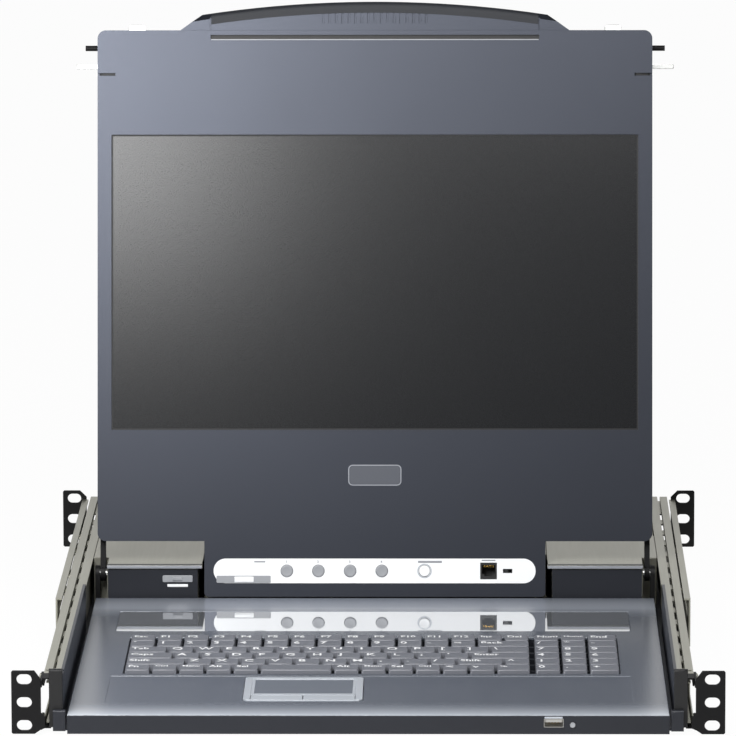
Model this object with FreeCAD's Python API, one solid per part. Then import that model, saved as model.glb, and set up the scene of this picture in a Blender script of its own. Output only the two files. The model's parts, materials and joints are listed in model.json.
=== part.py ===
"""Rack console drawer, one unit high: a keyboard deck on ball slides with a hinged flat screen.

Millimetres. X runs to the right, Y to the rear of the rack and Z up. The origin is the middle
of the front ear faces, half way up the rack unit. The drawer is pushed in and the lid is open.
"""
import FreeCAD, Part
import math
import os

Vector = FreeCAD.Vector
AXIS_X, AXIS_Y, AXIS_Z = Vector(1, 0, 0), Vector(0, 1, 0), Vector(0, 0, 1)

# ---- general sheet metal and clearances ---------------------------------------------------
SHEET = 1.2                 # zinc plated sheet of the chassis and the slides
TOUCH_GAP = 0.3             # between a piece and the seat it is free of
RUN_FIT = 0.05              # radial play of a pin or a ball in its seat
PRESS_GAP = 0.25            # around a button in its hole

# ---- rack interface ------------------------------------------------------------------------
RACK_WIDTH = 482.6          # over the ears
EAR_HEIGHT = 43.7           # one rack unit less its play
EAR_THICK = 2.0
EAR_PLATE_WIDTH = 15.6      # the full height part of an ear
EAR_CORNER = 1.0            # cut off the outer corners
EAR_SLOPE = 5.9             # drop of the slanted upper edge beside the slide
EAR_STEP = 14.5             # height of the front ear's web beside the slide
EAR_WEB = 11.4              # height of the web in front of the slide
EAR_FOOT = 4.0              # rise of the web's lower edge
EAR_PLAY = 0.7              # between the front ear's window and the fixed channel
HOLE_SPACING = RACK_WIDTH - 17.5        # between the left and right hole rows
HOLE_PITCH = 15.875         # between neighbouring holes of one row
SLOT_LENGTH = 10.3
SLOT_HEIGHT = 7.2
RACK_DEPTH = 640.0          # from the front ear face to the rear ear face

# ---- slides ----------------------------------------------------------------------------------
RAIL_MIDDLE = -2.5          # height of the slides' centre line
RAIL_HEIGHT = 35.0
TRAY_PLAY = 3.7             # dark gap between the deck and the tray's side wall
TRAY_WALL = 2.0             # painted side wall of the drawer's tray
TRAY_WALL_REAR = 320.0      # where the wall ends and the side channel's inner flange begins
SIDE_WIDTH = 3.7            # side channel of the drawer
SIDE_FLANGE = 2.6           # inner flange of the side channel behind the tray's wall
RAIL_GAP = 1.9              # between the side channel and the fixed channel
RAIL_WIDTH = 5.6            # fixed channel
RAIL_LIP = 2.6              # depth of the lip that keeps the balls in
RAIL_LIP_THICK = 0.7
RAIL_FRONT = 9.0
RAIL_REAR = 650.0
BALL_RADIUS = 1.2
GROOVE_DEPTH = 0.3          # depth of a ball race in its flange
CAGE_THICK = 0.5
CAGE_PLAY = 0.15            # between the cage and the fixed channel's lip and web
CAGE_MARGIN = 0.3           # left of the cage's flange beside a pocket
CAGE_FRONT = 220.0
CAGE_LENGTH = 218.0
CAGE_PITCH = 20.0
DASH_PITCH = 40.0           # oblong windows along the slide's top, seen between the channels
DASH_LENGTH = 24.0
DASH_MARGIN = 45.0          # plain length of the slide at each end
NOSE_WINDOW = 86.0          # length of the opening in the fixed channel's web behind the ear
NOSE_HALF = 12.0            # half its height
EAR_TAB = 22.0              # length of the front ear's tabs on the fixed channel

# ---- adjustable rear brackets ----------------------------------------------------------------
ARM_FRONT = 271.0
ARM_GAP = 1.2               # between the fixed channel and the arm
ARM_WIDTH = 4.6
ARM_IN_TRAVEL = 50.0
ARM_OUT_TRAVEL = 80.0
STUD_PLACES = (385.0, 530.0)
STUD_RADIUS = 2.5
STUD_HEAD_RADIUS = 4.6
STUD_HEAD_THICK = 1.6

# ---- drawer ----------------------------------------------------------------------------------
DECK_HALF = RACK_WIDTH / 2 - 37.6
DECK_TOP = -9.0
DECK_REAR = 386.5
DECK_WALL = 2.2
BEZEL_THICK = 4.0
BEZEL_LIP = 0.8             # thin upper edge of the bezel in front of the deck
BEZEL_BOTTOM = -21.8
DRAWER_REAR = 690.0
CHASSIS_TOP = 14.8
BOX_FRONT = 390.5
BOX_SIDE = 3.4              # overhang of the box top over its side wall
BOX_SHOULDER = 417.0        # where the box widens behind the hinge
COVER_SEAM = 497.0
WELL_REAR = 428.0           # back wall of the recess for the lid's tail
WELL_FLOOR = -16.0
FASCIA_TOP = 11.6
LIP_REACH = 1.9
LIP_HEIGHT = 2.4            # folded front lip of a box top

# ---- keyboard and touchpad --------------------------------------------------------------------
KEY_COLUMN = 18.9
KEY_ROW = 19.6
KEY_GAP = 2.6
KEY_HEIGHT = 6.4
KEY_PROUD = 2.3             # key tops above the deck
KEY_DRAFT = 1.9             # how far each side of a key leans in
KEY_TRAVEL = 1.8
KEYS_LEFT = -170.6
KEYS_FRONT = 132.4
KEY_BLOCK_GAP = 2.2
KEY_GUIDE = 1.6             # height of the base's ribs beside the foot of a key
BASE_THICK = 1.2
BASE_MARGIN = 3.0
PAD_LEFT = -86.3
PAD_WIDTH = 81.8
PAD_FRONT = 47.0
PAD_DEPTH = 72.0
PAD_RIM = 5.0
PAD_CORNER = 2.5
PAD_BUTTON_DEPTH = 15.0
PAD_BUTTON_GAP = 0.7
STRIP_HALF = DECK_HALF - 20.0           # glossy strip behind the keys
STRIP_FRONT = 271.6
STRIP_DEPTH = 66.9
STRIP_SINK = 0.6
PALM_HALF = DECK_HALF - 23.7
PALM_FRONT = 42.0
PALM_DEPTH = 82.0
PALM_SINK = 0.4

# ---- front port and button ---------------------------------------------------------------------
USB_PLACE = 125.4
USB_HEIGHT = -14.2
USB_WIDTH = 13.2
USB_TALL = 5.8
USB_DEPTH = 14.0
USB_WALL = 0.35
RESET_PLACE = 138.2
RESET_HEIGHT = -15.4
RESET_RADIUS = 1.8

# ---- lid, in its own directions: "up" from the hinge axis and "out" of the display face --------
HINGE_Y = 403.5
HINGE_Z = 6.1
OPEN_ANGLE = 100.0
LID_HALF = DECK_HALF - 1.2
LID_TOP = 396.6
LID_BOTTOM = 23.6
LID_FACE = 12.7
LID_BACK = -6.8
LID_WALL = 1.5
LID_CORNER = 6.0
TAIL_END = -17.0
TAIL_CORNER = 3.0
FRAME_THICK = 2.0           # display frame
SCREEN_WIDTH = 2 * (LID_HALF - 10.2)
SCREEN_HEIGHT = 215.6
SCREEN_BASE = 104.8
PANEL_THICK = 7.4
PANEL_MARGIN = 6.5
KNUCKLE_RADIUS = 5.75
HINGE_PIN_RADIUS = 2.95
ARM_INNER = LID_HALF - 5.5
ARM_PLATE = 3.8
ARM_REACH = 70.0
ARM_OUT = 4.0               # front of the arm's plate
KNUCKLE_GAP = 0.4
KNUCKLE_WIDTH = 3.4

# ---- handle and latches ---------------------------------------------------------------------------
GRIP_FOOT_INSET = 60.5      # from the lid's side to the foot of the grip
GRIP_INSET = 76.5           # from the lid's side to the end of the grip's straight part
GRIP_FOOT = LID_HALF - GRIP_FOOT_INSET
GRIP_HALF = LID_HALF - GRIP_INSET
GRIP_SPLIT = GRIP_HALF - 6.0            # seams at the ends of the hand piece
GRIP_SHOULDER = 11.5
GRIP_CREST = 21.0
GRIP_ROUND = 4.0
SEAM_WIDTH = 0.8
SEAM_DEPTH = 0.8
GROOVE_DROP = 6.4           # long groove under the grip, below the lid's top edge
GROOVE_HEIGHT = 3.0
SLIT_DROP = 32.2            # slits at the lid's side edges, below its top edge
SLIT_LENGTH = 13.0
SLIT_HEIGHT = 2.0
RIB_PITCH = 4.7
RIB_COUNT = 17
RIB_WIDTH = 1.6
RIB_DEPTH = 0.8
RIB_FOOT = 5.0
RIB_LENGTH = 9.0
GUIDE_PIN_DROP = 12.5       # below the lid's top edge
GUIDE_PIN_RADIUS = 2.0
GUIDE_PIN_ENGAGE = 2.6      # of the pin inside the side channel
LATCH_DROP = 26.0
LATCH_WIDE = 3.4
LATCH_THICK = 3.0
LATCH_ENGAGE = 3.5          # of the bolt inside the fixed channel
LATCH_TRAVEL = 12.0
PIN_OUT = -3.0              # height of the pins above the hinge axis plane
THUMB_PLACE = LID_HALF - 28.5
THUMB_WIDTH = 12.0
THUMB_HEIGHT = 4.4
THUMB_THICK = 5.0

# ---- control strip ---------------------------------------------------------------------------------
STRIP_WIDTH = 235.0
STRIP_SHIFT = -0.2          # of its middle from the drawer's
STRIP_LEFT = STRIP_SHIFT - STRIP_WIDTH / 2
TAIL_HALF = STRIP_WIDTH / 2 + 7.0      # half width of the lid's tail that carries it
BOX_INNER = TAIL_HALF + 1.5            # inner side of the corner boxes beside the tail
STRIP_HEIGHT = 18.0
STRIP_MIDDLE = 1.9
STRIP_PROUD = 0.4
BUTTON_PLACES = (-64.2, -41.2, -18.0, 5.1)
BUTTON_RADIUS = 4.35
BUTTON_PROUD = 0.9
BUTTON_COLLAR = 1.2         # wider and thicker than the button by this
POWER_PLACE = 36.3
POWER_RADIUS = 4.0
PORT_PLACE = 83.0
PORT_SIZE = 11.7
PORT_MOUTH_WIDTH = 9.7
PORT_MOUTH_HEIGHT = 6.8
SWITCH_PLACE = 96.9
SWITCH_TRAVEL = 2.0

# ---- rear connectors ----------------------------------------------------------------------------------
INLET_PLACE = 120.0
INLET_HEIGHT = -3.5
INLET_WIDTH = 52.0
INLET_TALL = 24.0
INLET_DEPTH = 22.0
MOUTH_WIDTH = 24.4
MOUTH_TALL = 16.2
MOUTH_DEPTH = 16.0
ROCKER_ANGLE = 8.0
ROCKER_WIDTH = 11.0
ROCKER_TALL = 18.0
SOCKET_PLACES = (-150.0, -95.0)
SOCKET_HEIGHT = -6.0
SERIAL_PLACE = -55.0
SOCKET_WIDTH = 32.0
SOCKET_TALL = 12.0
SOCKET_NUTS = 12.5          # from the middle of a socket to its nuts
BOARD_TOP = -13.6
BOARD_THICK = 1.6
BOARD_RIGHT = 20.0
BOARD_LENGTH = 148.0
BOARD_MARGIN = 21.5         # from the chassis side
BOARD_FOOT = 6.0
VENT_LEFT = 4.0
VENT_PITCH = 8.0
VENT_WIDTH = 3.0
VENT_COUNT = 8
SUPPLY_LEFT = 60.0
SUPPLY_MARGIN = 26.5        # from the chassis side
SUPPLY_REAR = 50.0          # from the rear wall
SUPPLY_LENGTH = 110.0
SUPPLY_DROP = 4.0           # below the cover
FIN_PITCH = 12.0
FIN_GROOVE = 6.0
FIN_DEPTH = 5.0

# ---- places that follow from the sizes above --------------------------------------------------------
RAIL_HALF = RAIL_HEIGHT / 2
FLOOR_TOP = RAIL_MIDDLE - RAIL_HALF
TRAY_INNER = DECK_HALF + TRAY_PLAY
SIDE_INNER = TRAY_INNER + TRAY_WALL
SIDE_OUTER = SIDE_INNER + SIDE_WIDTH
RAIL_INNER = SIDE_OUTER + RAIL_GAP
RAIL_OUTER = RAIL_INNER + RAIL_WIDTH
CAGE_INNER = RAIL_INNER + RAIL_LIP_THICK + CAGE_PLAY
POCKET_HALF = BALL_RADIUS + RUN_FIT
BALL_PLACE = CAGE_INNER + CAGE_MARGIN + POCKET_HALF
BALL_LEVEL = RAIL_HALF - SHEET + GROOVE_DEPTH - RUN_FIT - BALL_RADIUS
SLIDE_HALF = BALL_LEVEL - BALL_RADIUS - RUN_FIT + GROOVE_DEPTH
SLIDE_OUTER = BALL_PLACE + 0.8
EAR_INNER = SLIDE_OUTER + 0.4
RAIL_TOP = RAIL_MIDDLE + RAIL_HALF
GUIDE_PIN_REACH = SIDE_INNER + GUIDE_PIN_ENGAGE
LATCH_REACH = RAIL_INNER + LATCH_ENGAGE
ARM_INSIDE = RAIL_OUTER + ARM_GAP
ARM_OUTSIDE = ARM_INSIDE + ARM_WIDTH
GUIDE_PIN_Y = HINGE_Y - (LID_TOP - GUIDE_PIN_DROP)
LATCH_Y = HINGE_Y - (LID_TOP - LATCH_DROP)
PIN_LEVEL = HINGE_Z - PIN_OUT
FRAME_BACK = LID_FACE - FRAME_THICK
CHASSIS_HALF = SIDE_INNER - SIDE_FLANGE - TOUCH_GAP
BOX_OUTER = ARM_INNER - 1.5
KEY_TOP = DECK_TOP + KEY_PROUD
KEY_BOTTOM = KEY_TOP - KEY_HEIGHT
BASE_TOP = KEY_BOTTOM + KEY_GUIDE
PIN_FLOOR = PIN_LEVEL - GUIDE_PIN_RADIUS - TOUCH_GAP


# ==== basic shapes =====================================================================================
def block(x0, x1, y0, y1, z0, z1):
    """A box between two corners."""
    return Part.makeBox(x1 - x0, y1 - y0, z1 - z0, Vector(x0, y0, z0))


def rod(centre, radius, length, direction):
    """A cylinder that starts at a centre and runs along a direction."""
    return Part.makeCylinder(radius, length, Vector(*centre), direction)


def outline(points):
    """A closed flat face through corner points."""
    corners = [Vector(*point) for point in points]
    return Part.Face(Part.makePolygon(corners + corners[:1]))


def profile_y(points, y0, y1):
    """An (x, z) outline carried along Y."""
    return outline([(x, y0, z) for x, z in points]).extrude(Vector(0, y1 - y0, 0))


def profile_x(points, x0, x1):
    """A (y, z) outline carried along X."""
    return outline([(x0, y, z) for y, z in points]).extrude(Vector(x1 - x0, 0, 0))


def profile_z(points, z0, z1):
    """An (x, y) outline carried along Z."""
    return outline([(x, y, z0) for x, y in points]).extrude(Vector(0, 0, z1 - z0))


def mirrored(shape):
    """The left hand twin of a right hand shape."""
    return shape.mirror(Vector(0, 0, 0), AXIS_X)


def pair(shape):
    """A right hand shape with its left hand twin, as separate solids."""
    return Part.makeCompound([shape, mirrored(shape)])


def along(shape, direction):
    """The edges of a shape that run along a direction."""
    return [edge for edge in shape.Edges
            if edge.Curve.TypeId == "Part::GeomLine"
            and abs(edge.Curve.Direction.dot(direction)) > 0.999]


def edges_at(shape, direction, test):
    """The edges along a direction whose middle passes a test."""
    return [edge for edge in along(shape, direction) if test(edge.CenterOfMass)]


def cut_corner_block(x0, x1, y0, y1, z0, z1, size):
    """A box whose four upright edges are cut off at 45 degrees."""
    return profile_z([(x0 + size, y0), (x1 - size, y0), (x1, y0 + size), (x1, y1 - size),
                      (x1 - size, y1), (x0 + size, y1), (x0, y1 - size), (x0, y0 + size)], z0, z1)


def hexagon(x, z, half, y0, y1):
    """A hexagonal bar along Y, of half a width across its flats."""
    radius = half / math.cos(math.pi / 6)
    corners = [math.radians(60 * step) for step in range(6)]
    return profile_y([(x + radius * math.cos(a), z + radius * math.sin(a)) for a in corners], y0, y1)


def oblong_x(x, z, length, height, y0, y1):
    """A slot with round ends along X, cut through along Y."""
    radius = height / 2
    reach = length / 2 - radius
    bar = block(x - reach, x + reach, y0, y1, z - radius, z + radius)
    ends = [rod((x + side * reach, y0, z), radius, y1 - y0, AXIS_Y) for side in (-1, 1)]
    return bar.fuse(ends).removeSplitter()


def oblong_y(y, z, length, height, x0, x1):
    """A slot with round ends along Y, cut through along X."""
    radius = height / 2
    reach = length / 2 - radius
    bar = block(x0, x1, y - reach, y + reach, z - radius, z + radius)
    ends = [rod((x0, y + side * reach, z), radius, x1 - x0, AXIS_X) for side in (-1, 1)]
    return bar.fuse(ends).removeSplitter()


def lid_block(x0, x1, up0, up1, out0, out1):
    """A box in the lid's own directions, placed with the lid folded flat."""
    return block(x0, x1, HINGE_Y - up1, HINGE_Y - up0, HINGE_Z - out1, HINGE_Z - out0)


def lid_rod(x, up, out0, out1, radius):
    """A cylinder square to the display face, placed with the lid folded flat."""
    return rod((x, HINGE_Y - up, HINGE_Z - out1), radius, out1 - out0, AXIS_Z)


def lid_outline(points, out0, out1):
    """An (x, up) outline with the thickness of the lid between two depths."""
    return profile_z([(x, HINGE_Y - up) for x, up in points], HINGE_Z - out1, HINGE_Z - out0)


def opened(shape):
    """A lid piece swung from folded flat to the open position."""
    turned = shape.copy()
    turned.rotate(Vector(0, HINGE_Y, HINGE_Z), AXIS_X, -OPEN_ANGLE)
    return turned


def save(node, shape):
    """Write one node, refusing a broken solid."""
    if not shape.isValid() or not shape.Solids:
        raise ValueError(node + " is not a sound solid")
    if shape.ShapeType == "Solid" or len(shape.Solids) > 1:
        clean = shape
    else:
        clean = shape.Solids[0]
    clean.exportStep("parts/" + node + ".step")


# ==== rack ears and slides =============================================================================
def ear_slots(y0, y1):
    """The three mounting slots of a right hand ear."""
    return [oblong_x(HOLE_SPACING / 2, row * HOLE_PITCH, SLOT_LENGTH, SLOT_HEIGHT, y0, y1)
            for row in (-1, 0, 1)]


def front_ear():
    """Right front ear: slotted plate, web with its window, two tabs bent to the rear."""
    edge, half = RACK_WIDTH / 2, EAR_HEIGHT / 2
    neck = edge - EAR_PLATE_WIDTH
    window, corner = RAIL_OUTER + EAR_PLAY, EAR_CORNER
    plate = profile_y([(edge - corner, half), (neck, half), (window, half - EAR_SLOPE),
                       (window, -half + EAR_STEP), (window - 1.6, -half + EAR_STEP - 2), (EAR_INNER, -half + EAR_WEB),
                       (EAR_INNER, -half + EAR_FOOT), (window, -half + EAR_FOOT - 1), (neck, -half),
                       (edge - corner, -half), (edge, -half + corner),
                       (edge, half - corner)], 0, EAR_THICK).cut(ear_slots(-1, EAR_THICK + 1))
    tab_out = window + SHEET
    rear = RAIL_FRONT + EAR_TAB
    upper = block(RAIL_OUTER, tab_out, EAR_THICK, rear, RAIL_MIDDLE + NOSE_HALF + 0.4, RAIL_TOP - 0.4)
    lower = block(RAIL_OUTER, tab_out, EAR_THICK, rear, FLOOR_TOP + 0.6, RAIL_MIDDLE - NOSE_HALF + 0.6)
    return plate.fuse([upper, lower]).removeSplitter()


def race_cut(level, y0, y1):
    """The round groove that a row of balls leaves in a flange."""
    return rod((BALL_PLACE, y0, RAIL_MIDDLE + level), BALL_RADIUS + RUN_FIT, y1 - y0, AXIS_Y)


def fixed_channel():
    """Right fixed channel: a C with ball races, lips, nose opening and the catch of the latch."""
    top, lip = RAIL_HALF, RAIL_LIP_THICK
    half = [(RAIL_INNER, top), (RAIL_OUTER, top)]
    inside = [(RAIL_OUTER - SHEET, top - SHEET), (RAIL_INNER + lip, top - SHEET),
              (RAIL_INNER + lip, top - RAIL_LIP), (RAIL_INNER, top - RAIL_LIP)]
    down = [(x, -z) for x, z in reversed(half)]
    up = [(x, -z) for x, z in reversed(inside)]
    section = [(x, RAIL_MIDDLE + z) for x, z in half + down + up + inside]
    shape = profile_y(section, RAIL_FRONT, RAIL_REAR)
    cuts = [race_cut(side * BALL_LEVEL, RAIL_FRONT, RAIL_REAR) for side in (-1, 1)]
    cuts.append(block(RAIL_OUTER - 2 * SHEET, RAIL_OUTER + 1, RAIL_FRONT - 1, RAIL_FRONT + NOSE_WINDOW,
                      RAIL_MIDDLE - NOSE_HALF, RAIL_MIDDLE + NOSE_HALF))
    wide = LATCH_WIDE / 2 + TOUCH_GAP
    cuts.append(block(RAIL_INNER - 1, RAIL_OUTER - SHEET, LATCH_Y - wide, LATCH_Y + wide,
                      PIN_FLOOR, RAIL_TOP + 1))
    return shape.cut(cuts)


def rear_stud_parts():
    """Hexagon headed studs of the right fixed channel that guide the rear bracket's slots."""
    pieces = []
    for y in STUD_PLACES:
        shank = rod((RAIL_OUTER, y, RAIL_MIDDLE), STUD_RADIUS, ARM_OUTSIDE + TOUCH_GAP - RAIL_OUTER, AXIS_X)
        corners = [math.radians(60 * step) for step in range(6)]
        ring = [(y + STUD_HEAD_RADIUS * math.cos(a), RAIL_MIDDLE + STUD_HEAD_RADIUS * math.sin(a)) for a in corners]
        head = profile_x(ring, ARM_OUTSIDE + TOUCH_GAP, ARM_OUTSIDE + TOUCH_GAP + STUD_HEAD_THICK)
        pieces.append(shank.fuse(head).removeSplitter())
    return pieces


def rear_arm():
    """Right rear bracket arm: a shallow C outside the fixed channel, slotted for its studs."""
    top = RAIL_HALF
    section = [(ARM_INSIDE, top), (ARM_OUTSIDE, top), (ARM_OUTSIDE, -top), (ARM_INSIDE, -top),
               (ARM_INSIDE, -top + SHEET), (ARM_OUTSIDE - SHEET, -top + SHEET),
               (ARM_OUTSIDE - SHEET, top - SHEET), (ARM_INSIDE, top - SHEET)]
    shape = profile_y([(x, RAIL_MIDDLE + z) for x, z in section], ARM_FRONT, RACK_DEPTH - EAR_THICK)
    cuts = []
    for y in STUD_PLACES:
        low, high = y - ARM_OUT_TRAVEL, y + ARM_IN_TRAVEL
        height = 2 * (STUD_RADIUS + PRESS_GAP)
        cuts.append(oblong_y((low + high) / 2, RAIL_MIDDLE, high - low + height, height,
                             ARM_OUTSIDE - 2 * SHEET, ARM_OUTSIDE + 1))
    return shape.cut(cuts)


def rear_ear():
    """Right rear ear: slotted plate with a chamfered corner and a tab riveted inside the arm."""
    edge, half = RACK_WIDTH / 2, EAR_HEIGHT / 2
    inner = ARM_OUTSIDE - SHEET - EAR_THICK
    front, rear = RACK_DEPTH - EAR_THICK, RACK_DEPTH
    plate = profile_y([(edge - 1, half), (inner + 5, half), (inner, half - 5), (inner, -half + 4),
                       (inner + 4, -half), (edge - 1, -half), (edge, -half + 1), (edge, half - 1)], front, rear)
    plate = plate.cut(ear_slots(front - 1, rear + 1))
    tab = block(inner, inner + EAR_THICK, front - 45, front, RAIL_MIDDLE - 12, RAIL_MIDDLE + 12)
    return plate.fuse(tab).removeSplitter()


def faceted_ball(x, y, z):
    """A bearing ball as eight sided rings, plain enough to repeat."""
    rings = []
    for step in range(5):
        tilt = math.radians(-90 + 45 * step)
        radius, level = BALL_RADIUS * math.cos(tilt), z + BALL_RADIUS * math.sin(tilt)
        rings.append([(x + radius * math.cos(math.radians(45 * k)), y + radius * math.sin(math.radians(45 * k)),
                       level) for k in range(8)])
    faces = []
    for low, high in zip(rings, rings[1:]):
        for k in range(8):
            after = (k + 1) % 8
            if low is rings[0]:
                corners = [low[0], high[after], high[k]]
            elif high is rings[-1]:
                corners = [low[k], low[after], high[0]]
            else:
                corners = [low[k], low[after], high[after], high[k]]
            faces.append(outline(corners))
    return Part.Solid(Part.Shell(faces))


def ball_cage():
    """Right ball cage: a folded strip with six sided pockets, and the end balls of each row."""
    y0, y1 = CAGE_FRONT, CAGE_FRONT + CAGE_LENGTH
    outer = RAIL_OUTER - SHEET - CAGE_PLAY
    level, thin = BALL_LEVEL, CAGE_THICK / 2
    half = [(CAGE_INNER, level + thin), (outer, level + thin)]
    inside = [(outer - CAGE_THICK, level - thin), (CAGE_INNER, level - thin)]
    down = [(x, -z) for x, z in reversed(half)]
    up = [(x, -z) for x, z in reversed(inside)]
    shape = profile_y([(x, RAIL_MIDDLE + z) for x, z in half + down + up + inside], y0, y1)
    count = int((CAGE_LENGTH - 10) // CAGE_PITCH) + 1
    radius = POCKET_HALF / math.cos(math.pi / 6)
    ring = [(radius * math.sin(math.radians(60 * step)), radius * math.cos(math.radians(60 * step)))
            for step in range(6)]
    pockets, balls = [], []
    for side in (-1, 1):
        z = RAIL_MIDDLE + side * level
        for place in range(count):
            y = y0 + 6 + place * CAGE_PITCH
            pockets.append(profile_z([(BALL_PLACE + a, y + b) for b, a in ring], z - 1, z + 1))
            if place in (0, count - 1):
                balls.append(faceted_ball(BALL_PLACE, y, z))
    return Part.makeCompound([shape.cut(pockets)] + balls)


def pin_notches(x0, x1):
    """Openings that let the lid's side pins drop into a channel of the drawer."""
    cuts = []
    for y, half in ((GUIDE_PIN_Y, GUIDE_PIN_RADIUS), (LATCH_Y, LATCH_WIDE / 2)):
        wide = half + TOUCH_GAP
        cuts.append(block(x0, x1, y - wide, y + wide, PIN_FLOOR, RAIL_TOP + 1))
    return cuts


def inner_slide():
    """Right drawer member: a C that runs on the balls inside the fixed channel."""
    inner, top = SIDE_INNER + SHEET, SLIDE_HALF
    section = [(inner, top), (SLIDE_OUTER, top), (SLIDE_OUTER, top - SHEET), (inner + SHEET, top - SHEET),
               (inner + SHEET, -top + SHEET), (SLIDE_OUTER, -top + SHEET), (SLIDE_OUTER, -top), (inner, -top)]
    front, rear = RAIL_FRONT + 3, RAIL_REAR - 2
    shape = profile_y([(x, RAIL_MIDDLE + z) for x, z in section], front, rear)
    cuts = [race_cut(side * BALL_LEVEL, front, rear) for side in (-1, 1)]
    cuts += pin_notches(inner - 1, SLIDE_OUTER + 1)
    for place in range(int((RAIL_REAR - RAIL_FRONT - 2 * DASH_MARGIN) // DASH_PITCH) + 1):
        y = RAIL_FRONT + DASH_MARGIN + place * DASH_PITCH
        cuts.append(block(SIDE_OUTER, RAIL_INNER, y, y + DASH_LENGTH, RAIL_MIDDLE + top - 2 * SHEET,
                          RAIL_MIDDLE + top + 1))
    return shape.cut(cuts)


def side_channel():
    """Right side channel of the drawer, standing on the floor plate, with its inner flange at the rear."""
    top = RAIL_HALF
    section = [(SIDE_INNER, top), (SIDE_OUTER, top), (SIDE_OUTER, top - SHEET), (SIDE_INNER + SHEET, top - SHEET),
               (SIDE_INNER + SHEET, -top + SHEET), (SIDE_OUTER, -top + SHEET), (SIDE_OUTER, -top),
               (SIDE_INNER, -top)]
    shape = profile_y([(x, RAIL_MIDDLE + z) for x, z in section], RAIL_FRONT - 1, RAIL_REAR)
    flange = block(SIDE_INNER - SIDE_FLANGE, SIDE_INNER, TRAY_WALL_REAR, RAIL_REAR, RAIL_TOP - SHEET, RAIL_TOP)
    return shape.cut(pin_notches(SIDE_INNER - 1, SIDE_OUTER + 1)).fuse(flange).removeSplitter()


def rail_cap():
    """Right end cap of the tray's wall and side channel, standing proud of them."""
    shape = block(TRAY_INNER - 0.6, RAIL_INNER + 1, 3, RAIL_FRONT - 1, FLOOR_TOP + 2, RAIL_TOP + 7)
    return shape.makeChamfer(0.8, edges_at(shape, AXIS_X, lambda c: c.z > 0))


def corner_block():
    """Right corner block beside the front bezel."""
    shape = block(DECK_HALF + 1.2, SIDE_OUTER + 0.2, -1, 3, FLOOR_TOP, DECK_TOP + 3.6)
    return shape.makeChamfer(1.0, edges_at(shape, AXIS_X, lambda c: c.y < 0))


# ==== drawer ============================================================================================
def floor_tray():
    """Tray of the drawer: bottom plate with two painted side walls, notched for the lid's pins."""
    plate = block(-SIDE_OUTER, SIDE_OUTER, RAIL_FRONT - 1, DRAWER_REAR, FLOOR_TOP - SHEET, FLOOR_TOP)
    wall = block(TRAY_INNER, SIDE_INNER, RAIL_FRONT - 1, TRAY_WALL_REAR, FLOOR_TOP, RAIL_TOP)
    wall = wall.cut(pin_notches(TRAY_INNER - 1, SIDE_INNER + 1))
    return plate.fuse([wall, mirrored(wall)]).removeSplitter()


def front_bezel():
    """Front bar with a thin upper edge before the deck and openings for the port and the small button."""
    seat = DECK_TOP - DECK_WALL
    shape = profile_x([(0, BEZEL_BOTTOM), (0, DECK_TOP - 0.5), (0.4, DECK_TOP - 0.1), (BEZEL_LIP, DECK_TOP - 0.1),
                       (BEZEL_LIP, seat), (BEZEL_THICK, seat), (BEZEL_THICK, BEZEL_BOTTOM)],
                      -DECK_HALF, DECK_HALF)
    gap = PRESS_GAP
    port = block(USB_PLACE - USB_WIDTH / 2 - gap, USB_PLACE + USB_WIDTH / 2 + gap, -1, BEZEL_THICK + 1,
                 USB_HEIGHT - USB_TALL / 2 - gap, USB_HEIGHT + USB_TALL / 2 + gap)
    hole = rod((RESET_PLACE, -1, RESET_HEIGHT), RESET_RADIUS + gap, BEZEL_THICK + 2, AXIS_Y)
    return shape.cut([port, hole])


def usb_port():
    """Front port: a folded metal shell with its contact tongue."""
    x0, x1 = USB_PLACE - USB_WIDTH / 2, USB_PLACE + USB_WIDTH / 2
    z0, z1 = USB_HEIGHT - USB_TALL / 2, USB_HEIGHT + USB_TALL / 2
    shell = block(x0, x1, 0.2, USB_DEPTH, z0, z1)
    mouth = block(x0 + USB_WALL, x1 - USB_WALL, -1, USB_DEPTH - 1, z0 + USB_WALL, z1 - USB_WALL)
    tongue = block(x0 + 1.0, x1 - 1.0, 1.5, USB_DEPTH, z1 - USB_WALL - 2.2, z1 - USB_WALL - 0.4)
    foot = block(x0, x1, USB_DEPTH - 6, USB_DEPTH, FLOOR_TOP, z0)
    return shell.cut(mouth).fuse([tongue, foot]).removeSplitter()


def reset_button():
    """Small plunger with a square collar behind the bezel."""
    rear = BEZEL_THICK + TOUCH_GAP
    stem = rod((RESET_PLACE, -0.6, RESET_HEIGHT), RESET_RADIUS, rear + 0.6, AXIS_Y)
    half = RESET_RADIUS + 0.9
    collar = block(RESET_PLACE - half, RESET_PLACE + half, rear, rear + 1.2, RESET_HEIGHT - half,
                   RESET_HEIGHT + half)
    return stem.fuse(collar).removeSplitter()


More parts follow.
